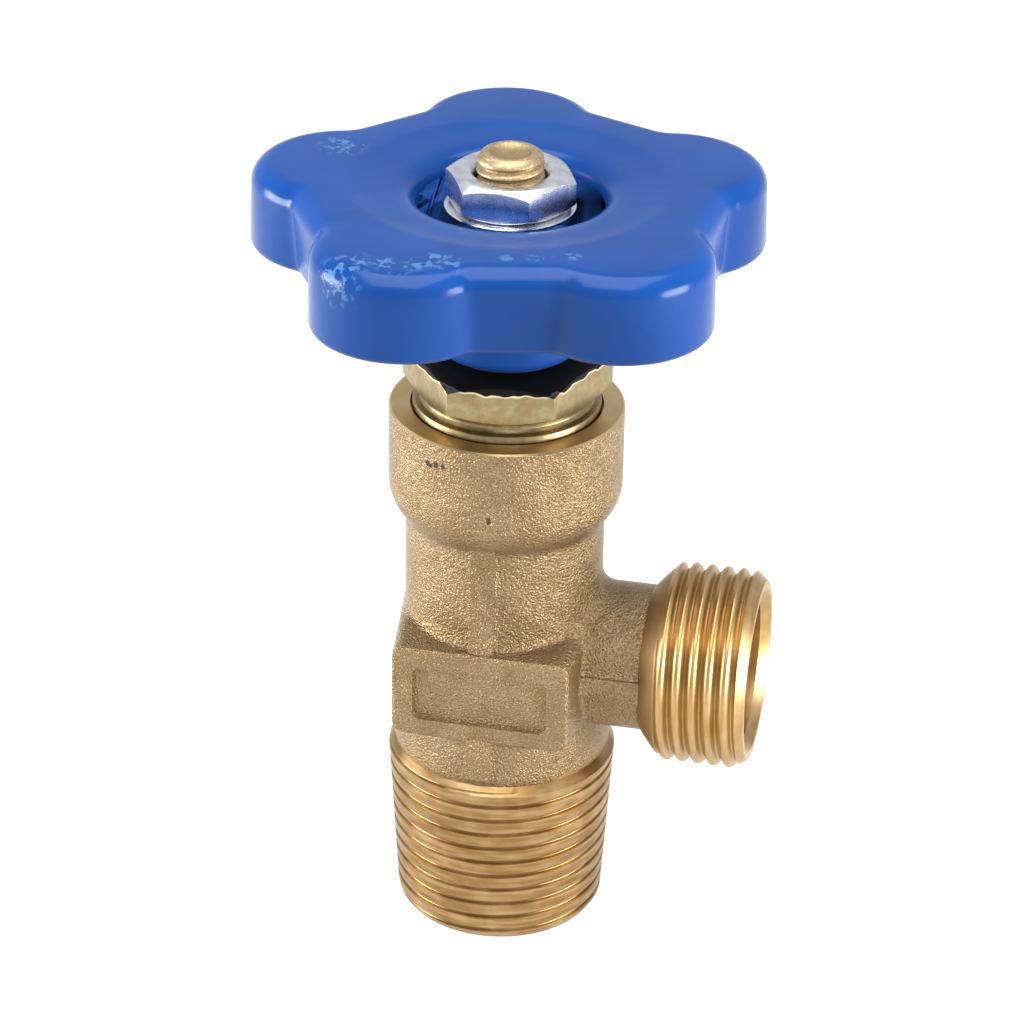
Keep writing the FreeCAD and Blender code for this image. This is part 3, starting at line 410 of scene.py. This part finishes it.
def set_stage():
    """Floor, sky, a large lamp above and a small one on each side."""
    lay_floor()
    hang_sky()
    softbox("top_light", (0.0, -0.12, 0.57), (0.0, -0.04, 0.05),
            width=0.56, height=0.66, power=4.4)
    for name, x in (("left_light", -0.4), ("right_light", 0.4)):
        softbox(name, (x, -0.09, 0.09), (0.0, 0.0, 0.05), width=0.22, height=0.16, power=1.9)
    bpy.context.scene.view_settings.view_transform = "Standard"


# Working by hand in edit mode

def deselect():
    """Nothing selected, in object mode."""
    if bpy.context.object and bpy.context.object.mode == "EDIT":
        bpy.ops.object.mode_set(mode="OBJECT")
    bpy.ops.object.select_all(action="DESELECT")


def work_on(piece):
    """The piece alone selected and active, in object mode."""
    deselect()
    bpy.context.view_layer.objects.active = piece
    piece.select_set(True)


def edit(piece):
    """The piece alone in edit mode, with nothing selected in it."""
    work_on(piece)
    bpy.ops.object.mode_set(mode="EDIT")
    bpy.ops.mesh.select_mode(type="VERT")
    bpy.ops.mesh.select_all(action="DESELECT")


def pick(piece, kind, wanted):
    """Selects the faces or edges that are wanted, and leaves the piece in edit mode."""
    edit(piece)
    bpy.ops.mesh.select_mode(type=kind)
    bpy.ops.object.mode_set(mode="OBJECT")
    for part in piece.data.polygons if kind == "FACE" else piece.data.edges:
        part.select = wanted(part)
    bpy.ops.object.mode_set(mode="EDIT")


def drawn_line(name, points):
    """Edges through points in millimetres, left in edit mode with the last point selected."""
    deselect()
    bpy.ops.mesh.primitive_plane_add(size=0.1 * MM, location=Vector(points[0]) * MM)
    piece = bpy.context.object
    piece.name = name
    bpy.ops.object.transform_apply(location=True, rotation=True, scale=True)
    bpy.ops.object.mode_set(mode="EDIT")
    bpy.ops.mesh.select_mode(type="VERT")
    bpy.ops.mesh.select_all(action="SELECT")
    bpy.ops.mesh.merge(type="CENTER")
    for start, end in zip(points, points[1:]):
        bpy.ops.mesh.extrude_vertices_move(
            TRANSFORM_OT_translate={"value": (Vector(end) - Vector(start)) * MM})
    return piece


def tidy(piece):
    """Doubles merged and faces turned outwards."""
    bpy.ops.mesh.select_all(action="SELECT")
    bpy.ops.mesh.remove_doubles(threshold=0.0005 * MM)
    bpy.ops.mesh.normals_make_consistent(inside=False)
    bpy.ops.object.mode_set(mode="OBJECT")
    return piece


def turned(name, outline, steps=128, along="z"):
    """An outline of (radius, height) points spun round the valve's axis or the outlet's."""
    if along == "z":
        points = [(radius, 0, height) for radius, height in outline]
        centre, axis = (0, 0, 0), (0, 0, 1)
    else:
        points = [(height, 0, OUTLET_HEIGHT + radius) for radius, height in outline]
        centre, axis = (0, 0, OUTLET_HEIGHT * MM), (1, 0, 0)
    piece = drawn_line(name, points)
    bpy.ops.mesh.select_all(action="SELECT")
    bpy.ops.mesh.spin(steps=steps, angle=CIRCLE, center=centre, axis=axis)
    return tidy(piece)


def box(name, low, high, turn=0.0):
    """A block between two opposite corners, then turned round the valve's axis."""
    deselect()
    bpy.ops.mesh.primitive_cube_add(size=1, location=(Vector(low) + Vector(high)) / 2 * MM,
                                    scale=(Vector(high) - Vector(low)) * MM)
    block = bpy.context.object
    block.name = name
    bpy.ops.object.transform_apply(location=True, rotation=True, scale=True)
    block.rotation_euler.z = turn
    bpy.ops.object.transform_apply(location=True, rotation=True, scale=True)
    return block


def modified(piece, kind, **settings):
    """A modifier with its settings, applied."""
    work_on(piece)
    bpy.ops.object.modifier_add(type=kind)
    modifier = piece.modifiers[-1]
    for name, value in settings.items():
        setattr(modifier, name, value)
    bpy.ops.object.modifier_apply(modifier=modifier.name)
    return piece


def combined(piece, other, operation):
    """United with, cut by or cut down to another piece, which is used up."""
    modified(piece, "BOOLEAN", operation=operation, object=other, solver="MANIFOLD",
             material_mode="TRANSFER")
    bpy.data.objects.remove(other)
    return piece


def painted(piece, material):
    """In one material all over."""
    piece.data.materials.clear()
    piece.data.materials.append(material)
    return piece


def smooth(piece, angle=32):
    """Shaded smooth, apart from edges sharper than the angle in degrees."""
    work_on(piece)
    bpy.ops.object.shade_smooth_by_angle(angle=radians(angle))
    return piece


def settle(piece, body, slot, *nodes):
    """Rides on its body and stands for the CAD nodes."""
    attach(piece, body)
    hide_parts(*nodes)


def node_copy(name, node):
    """A merged copy of a CAD node to work on."""
    piece = bpy.data.objects.new(name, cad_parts[node].data.copy())
    bpy.context.scene.collection.objects.link(piece)
    edit(piece)
    bpy.ops.mesh.customdata_custom_splitnormals_clear()
    return tidy(piece)


# One pitch of a thread: how far along the pitch, and how far from root to crest
ROUND_TOOTH = [(0.0, 0.0), (0.06, 0.05), (0.12, 0.2), (0.22, 0.55), (0.32, 0.83), (0.42, 0.97),
               (0.5, 1.0), (0.58, 0.97), (0.68, 0.83), (0.78, 0.55), (0.88, 0.2), (0.94, 0.05),
               (1.0, 0.0)]
FLAT_TOOTH = [(0.0, 0.0), (0.03, 0.03), (0.07, 0.3), (0.12, 0.62), (0.18, 0.85), (0.26, 0.96),
              (0.36, 1.0), (0.86, 1.0), (0.9, 0.94), (0.97, 0.1), (1.0, 0.0)]


def threaded_bar(name, pitch, crest, root, bottom, top, turn, tooth=ROUND_TOOTH, steps=96):
    """A bar with a right-hand thread round the valve's axis, turned back by degrees."""
    start = bottom - 2 * pitch
    depth = crest - root
    outline = [(root + depth * height, 0, start + pitch * share) for share, height in tooth]
    piece = drawn_line(name, outline)
    bpy.ops.object.mode_set(mode="OBJECT")
    turns = int((top - start) / pitch) + 3
    modified(piece, "SCREW", axis="Z", screw_offset=pitch * MM, angle=CIRCLE, iterations=turns,
             steps=steps, render_steps=steps, use_merge_vertices=True,
             merge_threshold=0.0005 * MM)
    edit(piece)
    bpy.ops.mesh.select_all(action="SELECT")
    bpy.ops.transform.rotate(value=-radians(turn), orient_axis="Z", center_override=(0, 0, 0))
    for height, upwards in ((bottom, False), (top, True)):
        bpy.ops.mesh.select_all(action="SELECT")
        bpy.ops.mesh.bisect(plane_co=(0, 0, height * MM), plane_no=(0, 0, 1), use_fill=True,
                            clear_inner=not upwards, clear_outer=upwards, threshold=1e-7)
    return tidy(piece)


# Forged body with its turned ends

BAND_HALF = 1.4
FLAT_DISTANCE = 12.75
FIELD_DEPTH = 0.5
FIELD_HALF = 7.7
FIELD_BOTTOM = 29.5
FIELD_TOP = 36.1
FIELD_CORNER = 0.9
FIELD_DRAFT = 0.12
PASSAGE_RADIUS = 2.6
PORT_RADIUS = 2.25
SHANK_TOP = 21.5


def extruded(name, outline, along):
    """A closed outline of points, filled and pushed along a direction."""
    piece = drawn_line(name, outline)
    bpy.ops.mesh.select_all(action="SELECT")
    bpy.ops.mesh.edge_face_add()
    bpy.ops.mesh.extrude_region_move(TRANSFORM_OT_translate={"value": Vector(along) * MM})
    return piece


def upright_band():
    """The flat forged band that runs up the front and the rear."""
    outline = [(-13.0, 22.35), (-13.0, 27.2), (-12.5, 27.8), (-12.5, 38.1), (-12.05, 39.6),
               (-11.72, 41.2), (-11.72, 52.4), (11.72, 52.4), (11.72, 39.5), (12.5, 35.4),
               (12.5, 27.8), (13.0, 27.2), (13.0, 22.35)]
    return tidy(extruded("upright_band", [(-BAND_HALF, y, z) for y, z in outline],
                         (2 * BAND_HALF, 0, 0)))


def field_cutter():
    """The recessed field in the front flat, with drafted walls."""
    middle = (FIELD_BOTTOM + FIELD_TOP) / 2
    half_height = (FIELD_TOP - FIELD_BOTTOM) / 2
    across = FIELD_HALF - FIELD_CORNER
    up = half_height - FIELD_CORNER
    outline = []
    for corner, (x, z) in enumerate(((across, up), (-across, up), (-across, -up), (across, -up))):
        for step in range(7):
            angle = pi / 2 * (corner + step / 6)
            outline.append((x + FIELD_CORNER * cos(angle), FIELD_DEPTH - FLAT_DISTANCE,
                            middle + z + FIELD_CORNER * sin(angle)))
    cutter = extruded("field_cutter", outline, (0, -2 * FIELD_DEPTH, 0))
    wider, taller = 1 + FIELD_DRAFT / FIELD_HALF, 1 + FIELD_DRAFT / half_height
    bpy.ops.transform.resize(value=(wider, 1, taller), center_override=(0, 0, middle * MM))
    return tidy(cutter)


def body_forging():
    """The forging before it is machined: the CAD solid filled, with soft edges and bands."""
    forging = node_copy("valve_body_forging", "valve_body")
    chamber_filling = turned("chamber_filling", [
        (0, 21.5), (8.4, 21.5), (8.4, 53.0), (12.0, 54.2), (12.0, 63.0), (COLLAR_RADIUS, 63.0),
        (COLLAR_RADIUS, 65.6), (0, 65.6)])
    combined(forging, chamber_filling, "UNION")
    outlet_filling = turned("outlet_filling", [(0, 3.0), (7.4, 3.0), (7.4, 19.5), (0, 19.5)],
                            along="x")
    combined(forging, outlet_filling, "UNION")
    field_filling = box("field_filling", (-8.2, -FLAT_DISTANCE + 0.01, 29.0), (8.2, -11.5, 36.6))
    combined(forging, field_filling, "UNION")
    shank_offcut = turned("shank_offcut", [(0, -1.0), (20, -1.0), (20, 21.1), (0, 21.1)])
    combined(forging, shank_offcut, "DIFFERENCE")
    outlet_offcut = turned("outlet_offcut", [(0, 18.4), (16, 18.4), (16, 32.0), (0, 32.0)],
                           along="x")
    combined(forging, outlet_offcut, "DIFFERENCE")
    modified(forging, "REMESH", mode="VOXEL", voxel_size=0.27 * MM)
    modified(forging, "SMOOTH", factor=0.5, iterations=3)
    combined(forging, upright_band(), "UNION")
    outlet_band = box("outlet_band", (8.0, -8.68, OUTLET_HEIGHT - BAND_HALF),
                      (17.5, 8.68, OUTLET_HEIGHT + BAND_HALF))
    combined(forging, outlet_band, "UNION")
    combined(forging, field_cutter(), "DIFFERENCE")
    return painted(forging, finishes["forged_brass"])


def bore_cutter():
    """What the lathe takes out of the body from above, up to the machined collar face."""
    cutter = turned("chamber_cutter", [
        (0, 13.2), (PASSAGE_RADIUS, 13.2), (PASSAGE_RADIUS, 31.0), (3.3, 31.0), (3.9, 30.0),
        (7.6, 30.0), (7.6, 54.4), (GLAND_BORE, 54.4), (GLAND_BORE, 63.4), (REBATE_RADIUS, 63.4),
        (REBATE_RADIUS, COLLAR_TOP), (COLLAR_RADIUS - 0.2, COLLAR_TOP),
        (COLLAR_RADIUS + 0.6, COLLAR_TOP - 0.8),
        (22, COLLAR_TOP - 0.8), (22, 67), (0, 67)])
    return painted(cutter, finishes["machined_collar"])


def machined_body():
    """The forging with its bores."""
    forging = combined(body_forging(), bore_cutter(), "DIFFERENCE")
    outlet_way = turned("outlet_way", [
        (0, 6.6), (PORT_RADIUS, 6.6), (PORT_RADIUS, 16.4), (6.1, 18.7), (0, 18.7)], 64, "x")
    combined(forging, painted(outlet_way, finishes["machined_outlet"]), "DIFFERENCE")
    settle(smooth(forging, 40), "housing", "forged_brass", "valve_body")


def threaded_shank():
    """The taper shank that goes into the cylinder."""
    length = SHANK_TOP + 0.1
    shank = threaded_bar("inlet_shank", SHANK_PITCH, SHANK_END_RADIUS, SHANK_END_RADIUS - 0.36,
                         0.0, length, turn=60.8, tooth=FLAT_TOOTH)
    growth = SHANK_TAPER * length / SHANK_END_RADIUS
    modified(shank, "SIMPLE_DEFORM", deform_method="TAPER", deform_axis="Z", factor=growth)
    top = SHANK_END_RADIUS + SHANK_TAPER * 20.5
    blank = turned("shank_blank", [
        (0, 0), (SHANK_END_RADIUS - 0.6, 0), (SHANK_END_RADIUS + 0.06, 1.0), (top, 20.45),
        (12.25, SHANK_TOP), (0, SHANK_TOP)])
    combined(shank, blank, "INTERSECT")
    gas_way = turned("gas_way", [(0, -1), (4.5, -1), (4.5, 13.0), (PASSAGE_RADIUS, 14.2),
                                 (PASSAGE_RADIUS, 22), (0, 22)], 64)
    combined(shank, gas_way, "DIFFERENCE")
    painted(shank, finishes["machined_shank"])
    settle(smooth(shank), "housing", "forged_brass")


def threaded_outlet():
    """The outlet's thread, mouth and sealing cone."""
    outlet = threaded_bar("outlet_thread", OUTLET_PITCH, OUTLET_CREST, OUTLET_CREST - 0.8,
                          17.0, 30.2, turn=154.7)
    edit(outlet)
    bpy.ops.mesh.select_all(action="SELECT")
    bpy.ops.transform.rotate(value=-pi / 2, orient_axis="Y", center_override=(0, 0, 0))
    bpy.ops.transform.translate(value=(0, 0, OUTLET_HEIGHT * MM))
    bpy.ops.object.mode_set(mode="OBJECT")
    blank = turned("outlet_blank", [
        (0, 17.3), (8.42, 17.3), (9.0, 17.75), (9.8, 18.45), (10.6, 19.2), (11.2, 19.75),
        (OUTLET_CREST, 20.1), (OUTLET_CREST, 28.4), (10.33, OUTLET_END), (0, OUTLET_END)],
        along="x")
    combined(outlet, blank, "INTERSECT")
    mouth = turned("outlet_mouth", [
        (0, 16), (PORT_RADIUS, 16), (PORT_RADIUS, 16.5), (OUTLET_BORE, 20.3),
        (OUTLET_BORE, 28.7), (9.5, OUTLET_END), (9.5, 31), (0, 31)], along="x")
    combined(outlet, mouth, "DIFFERENCE")
    painted(outlet, finishes["machined_outlet"])
    settle(smooth(outlet), "housing", "forged_brass")


# Gland nut

def hexagon_bar(name, across_flats, bottom, top, first_corner, face_radius):
    """A hexagon with turned chamfers, its first corner at an angle in degrees."""
    corner = across_flats / sqrt(3)
    deselect()
    bpy.ops.mesh.primitive_cylinder_add(vertices=6, radius=corner * MM, depth=(top - bottom) * MM,
                                        location=(0, 0, (top + bottom) / 2 * MM),
                                        rotation=(0, 0, radians(first_corner - 30)))
    bar = bpy.context.object
    bar.name = name
    bpy.ops.object.transform_apply(location=True, rotation=True, scale=True)
    drop = (corner + 1 - face_radius) * tan(pi / 6)
    blank = turned(name + "_blank", [
        (0, bottom), (face_radius, bottom), (corner + 1, bottom + drop), (corner + 1, top - drop),
        (face_radius, top), (0, top)], 192)
    return combined(bar, blank, "INTERSECT")


def gland():
    """The hexagon, flange and screwed end that close the body."""
    nut = hexagon_bar("gland_hexagon", GLAND_FLATS, 66.4, GLAND_TOP, first_corner=8.0,
                      face_radius=9.6)
    screwed = turned("gland_screwed_end", [
        (0, 55.6), (9.5, 55.6), (10.0, 56.1), (10.0, GLAND_FLANGE_BOTTOM),
        (10.6, GLAND_FLANGE_BOTTOM), (10.6, 65.2), (10.5, 65.38), (10.3, 65.45), (9.85, 65.5),
        (9.55, 65.9), (9.55, 68.0), (0, 68.0)])
    combined(nut, screwed, "UNION")
    bore = turned("gland_bore", [
        (0, 55.0), (8.0, 55.0), (8.0, 60.4), (5.06, 60.4), (5.06, 71.0), (5.46, GLAND_TOP),
        (5.46, 72.0), (0, 72.0)])
    combined(nut, bore, "DIFFERENCE")
    modified(nut, "BEVEL", width=0.1 * MM, segments=2, limit_method="ANGLE",
             angle_limit=radians(35))
    painted(nut, finishes["gland_brass"])
    settle(smooth(nut), "housing", "gland_brass", "gland_nut")


# Handwheel

LOBES = 5
RIM_POINTS = 600
WHEEL_TURN = radians(31.2)
EDGE_RADIUS = 2.45
FOOT_RADIUS = 0.9
WHEEL_FOOT = WHEEL_TOP - 9.85
WALL = 1.6
HOLLOW_TOP = WHEEL_FOOT + 7.25
DRUM_RADIUS = 12.0
HUB_RADIUS = 8.6
SQUARE_HALF = 4.05

# Lobe centre, lobe radius, valley distance and radius of the hollow corner
TOP_RIM = (19.2, 10.2, 23.5, 3.0)
FOOT_RIM = (19.5, 10.1, 22.9, 2.0)


def arc_radius(centre, radius, away, side):
    """Distance from the axis to the near or the far side of a circle, in a direction."""
    turn = away - atan2(centre.x, centre.y)
    return centre.length * cos(turn) + side * sqrt(radius ** 2 - (centre.length * sin(turn)) ** 2)


def rim_radius(angle, lobe_centre, lobe_radius, valley, hollow):
    """Distance of the lobed rim from the axis: a flat valley, a hollow corner, a round lobe."""
    half = pi / LOBES
    away = half - abs((angle - WHEEL_TURN + half) % (2 * half) - half)
    lobe = Vector((lobe_centre * sin(half), lobe_centre * cos(half)))
    height = valley + hollow
    width = sqrt((lobe_radius + hollow) ** 2 - (height - lobe.y) ** 2)
    corner = Vector((lobe.x - width, height))
    joint = lobe.lerp(corner, lobe_radius / (lobe_radius + hollow))
    if away < atan2(corner.x, valley):
        return valley / cos(away)
    if away < atan2(joint.x, joint.y):
        return arc_radius(corner, hollow, away, -1)
    return arc_radius(lobe, lobe_radius, away, 1)


def rim_line(name, height, *form):
    """The lobed rim at a height, as a face."""
    points = []
    for step in range(RIM_POINTS):
        angle = CIRCLE * step / RIM_POINTS
        radius = rim_radius(angle, *form)
        points.append((radius * cos(angle), radius * sin(angle), height))
    rim = drawn_line(name, points)
    bpy.ops.mesh.select_all(action="SELECT")
    bpy.ops.mesh.edge_face_add()
    bpy.ops.object.mode_set(mode="OBJECT")
    return rim


def ring_added(radius, height):
    """A ring of edges with as many points as the rim, left selected."""
    bpy.ops.mesh.primitive_circle_add(vertices=RIM_POINTS, radius=radius * MM,
                                      location=(0, 0, height * MM))


def ring_path(path):
    """The selected ring extruded from one (radius, height) to the next."""
    for start, end in zip(path, path[1:]):
        bpy.ops.mesh.extrude_edges_move(
            TRANSFORM_OT_translate={"value": (0, 0, (end[1] - start[1]) * MM)})
        share = end[0] / start[0]
        bpy.ops.transform.resize(value=(share, share, 1), center_override=(0, 0, 0))


def rounded_edge(radius, steps):
    """The selected end face narrowed and raised step by step, along a quarter circle."""
    for step in range(steps):
        start, end = pi / 2 * step / steps, pi / 2 * (step + 1) / steps
        bpy.ops.mesh.inset(thickness=radius * (cos(start) - cos(end)) * MM,
                           depth=radius * (sin(end) - sin(start)) * MM)


def pick_end_face(wheel, side):
    """The flat face that ends the rim, on top for side 1 and below for side -1."""
    def ends_rim(face):
        return side * face.normal.z > 0.99 and hypot(face.center.x, face.center.y) < 3 * MM
    pick(wheel, "FACE", ends_rim)


def pick_level(wheel, height, radius):
    """The edges at a height, no further from the axis than a radius."""
    deselect()
    level = {corner.index for corner in wheel.data.vertices
             if abs(corner.co.z - height * MM) < 0.005 * MM
             and hypot(corner.co.x, corner.co.y) < (radius + 0.01) * MM}
    pick(wheel, "EDGE", lambda line: level.issuperset(line.vertices))


def rim_block():
    """The rim as a closed block with rounded edges."""
    upper = rim_line("handwheel_casting", WHEEL_TOP - EDGE_RADIUS, *TOP_RIM)
    lower = rim_line("handwheel_skirt", WHEEL_FOOT + FOOT_RADIUS, *FOOT_RIM)
    work_on(upper)
    lower.select_set(True)
    bpy.ops.object.join()
    wheel = bpy.context.object
    edit(wheel)
    bpy.ops.mesh.select_all(action="SELECT")
    bpy.ops.mesh.delete(type="ONLY_FACE")
    bpy.ops.mesh.select_all(action="SELECT")
    bpy.ops.mesh.bridge_edge_loops()
    for level in (WHEEL_TOP - EDGE_RADIUS, WHEEL_FOOT + FOOT_RADIUS):
        pick_level(wheel, level, 30)
        bpy.ops.mesh.edge_face_add()
    bpy.ops.mesh.select_all(action="SELECT")
    bpy.ops.mesh.normals_make_consistent(inside=False)
    for side, radius, steps in ((1, EDGE_RADIUS, 10), (-1, FOOT_RADIUS, 4)):
        pick_end_face(wheel, side)
        rounded_edge(radius, steps)
    return wheel


def wheel_casting():
    """The handwheel: rim, dished top and well from above, skirt and hub from below."""
    wheel = rim_block()

    # Dished top, mouth and wall of the well
    pick_end_face(wheel, 1)
    bpy.ops.mesh.delete(type="ONLY_FACE")
    ring_added(CREASE_RADIUS, WHEEL_TOP)
    pick_level(wheel, WHEEL_TOP, 30)
    bpy.ops.mesh.bridge_edge_loops()
    pick_level(wheel, WHEEL_TOP, CREASE_RADIUS)
    ring_path([(CREASE_RADIUS, WHEEL_TOP), (17.6, 91.18), (17.1, 91.12), (16.5, 91.03),
               (15.6, 90.93), (14.4, 90.82), (13.4, 90.75), (12.6, 90.66), (12.1, 90.57),
               (11.6, 90.4), (11.15, 90.13), (10.8, 89.79), (10.54, 89.37), (10.4, 88.9),
               (WELL_RADIUS, 88.4), (WELL_RADIUS, 86.0), (10.3, 82.4), (10.2, 82.1),
               (9.9, WELL_FLOOR)])
    bpy.ops.mesh.edge_face_add()

    # Hollow underside, drum of the well and hub from below
    pick_end_face(wheel, -1)
    bpy.ops.mesh.inset(thickness=WALL * MM)
    bpy.ops.mesh.extrude_region_move(
        TRANSFORM_OT_translate={"value": (0, 0, (HOLLOW_TOP - WHEEL_FOOT) * MM)})
    bpy.ops.mesh.delete(type="ONLY_FACE")
    ring_added(DRUM_RADIUS, HOLLOW_TOP)
    pick_level(wheel, HOLLOW_TOP, 28)
    bpy.ops.mesh.bridge_edge_loops()
    pick_level(wheel, HOLLOW_TOP, DRUM_RADIUS)
    ring_path([(DRUM_RADIUS, HOLLOW_TOP), (DRUM_RADIUS, 80.0), (11.9, 79.7), (11.6, 79.6),
               (9.0, 79.6), (8.7, 79.4), (HUB_RADIUS, 79.0), (HUB_RADIUS, 73.25), (8.53, 72.8),
               (8.3, 72.4), (7.95, 72.08), (7.5, 71.9), (7.1, HUB_BOTTOM)])
    bpy.ops.mesh.edge_face_add()
    tidy(wheel)

    # Ribs under the cover, one in each valley, and the square hole
    for number in range(LOBES):
        rib = box("wheel_rib", (11.2, -1.0, 83.8), (22.0, 1.0, 88.8),
                  WHEEL_TURN + pi / LOBES * (2 * number + 1))
        combined(wheel, rib, "UNION")
    square = box("stem_square", (-SQUARE_HALF, -SQUARE_HALF, 71.0),
                 (SQUARE_HALF, SQUARE_HALF, 83.0), pi / 4)
    combined(wheel, square, "DIFFERENCE")
    painted(wheel, finishes["blue_enamel"])
    settle(smooth(wheel, 40), "spindle", "blue_enamel", "handwheel")


# Stem end, nut and cap on top

STEM_CUT = 88.2
CAP_TOP = CAP_SEAT + 0.9
STUD_HOLE = 4.01


def stem_with_thread():
    """The stem with a threaded, dished end in place of its plain one."""
    stem = node_copy("stem_turning", "stem")
    offcut = box("stem_offcut", (-6.0, -6.0, STEM_CUT), (6.0, 6.0, STEM_CUT + 20))
    combined(stem, offcut, "DIFFERENCE")
    end = threaded_bar("stem_end", STEM_PITCH, STEM_CREST, 3.2, STEM_CUT - 0.2, STEM_TOP + 0.1,
                       turn=112, steps=80)
    blank = turned("stem_end_blank", [
        (0, STEM_CUT - 0.2), (STEM_CREST, STEM_CUT - 0.2), (STEM_CREST, 93.85), (3.66, 94.15),
        (3.48, 94.45), (3.2, 94.7), (2.9, 94.85), (2.6, STEM_TOP), (2.42, 94.86),
        (DISH_RADIUS, 94.7), (2.15, 94.5), (1.8, 94.34), (1.0, 94.24), (0, DISH_FLOOR)])
    combined(end, blank, "INTERSECT")
    combined(stem, end, "UNION")
    painted(stem, finishes["stem_brass"])
    settle(smooth(stem), "spindle", "stem_brass", "stem")


def top_nut():
    """The thin nut that holds the handwheel."""
    nut = hexagon_bar("thin_nut", NUT_FLATS, CAP_TOP, NUT_TOP, first_corner=57.7,
                      face_radius=6.0)
    bore = turned("thin_nut_bore", [(0, 88), (STUD_HOLE, 88), (STUD_HOLE, 92.1), (4.5, 92.72),
                                    (4.5, 94), (0, 94)], 96)
    combined(nut, bore, "DIFFERENCE")
    modified(nut, "BEVEL", width=0.07 * MM, segments=2, limit_method="ANGLE",
             angle_limit=radians(30))
    painted(nut, finishes["zinc_plate"])
    settle(smooth(nut), "spindle", "zinc_steel", "wheel_nut")


def pressed_cap():
    """The domed washer between nut and spring."""
    cap = turned("pressed_cap", [
        (STUD_HOLE, CAP_SEAT), (6.9, CAP_SEAT), (7.15, CAP_SEAT - 0.08), (8.0, CAP_SEAT - 0.5),
        (8.15, CAP_SEAT - 0.76), (8.3, CAP_SEAT - 0.7), (8.3, CAP_SEAT + 0.2),
        (8.2, CAP_SEAT + 0.36), (7.1, CAP_TOP - 0.04), (6.9, CAP_TOP), (STUD_HOLE, CAP_TOP),
        (STUD_HOLE, CAP_SEAT)])
    painted(cap, finishes["zinc_plate"])
    settle(smooth(cap, 25), "spindle", "zinc_steel", "spring_cap")


place_camera()
set_stage()

finishes = {
    "forged_brass": forged_brass(),
    "machined_collar": machined_brass("machined_collar", (0.7, 0.48, 0.22), (0.86, 0.66, 0.36)),
    "machined_shank": machined_brass("machined_shank", (0.285, 0.162, 0.054),
                                     (0.53, 0.37, 0.185)),
    "machined_outlet": machined_brass("machined_outlet", (0.46, 0.28, 0.1), (0.6, 0.45, 0.24),
                                      outlet=True),
    "gland_brass": gland_brass(),
    "stem_brass": stem_brass(),
    "blue_enamel": blue_enamel(),
    "zinc_plate": zinc_plate(),
    "drive_steel": plain_finish("drive_steel", (0.42, 0.42, 0.43), (0.5, 0.5, 0.5),
                                rough=0.35, metallic=1.0, size=0.3),
    "spring_steel": plain_finish("spring_steel", (0.4, 0.41, 0.43), (0.52, 0.52, 0.53),
                                 rough=0.3, metallic=1.0, size=0.2),
    "nylon": plain_finish("nylon", (0.8, 0.77, 0.68), (0.86, 0.83, 0.74), rough=0.45),
    "glide_plastic": plain_finish("glide_plastic", (0.04, 0.04, 0.045), (0.06, 0.06, 0.065),
                                  rough=0.5),
}

# Pieces shown as in the CAD model, with their materials
INNER_PIECES = {"plunger": "stem_brass", "drive_plate": "drive_steel",
                "wheel_spring": "spring_steel", "gland_gasket": "nylon", "stem_gasket": "nylon",
                "seat_insert": "nylon", "glide_washer": "glide_plastic"}
for node, finish in INNER_PIECES.items():
    painted(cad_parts[node], finishes[finish])

machined_body()
threaded_shank()
threaded_outlet()
gland()
wheel_casting()
stem_with_thread()
top_nut()
pressed_cap()
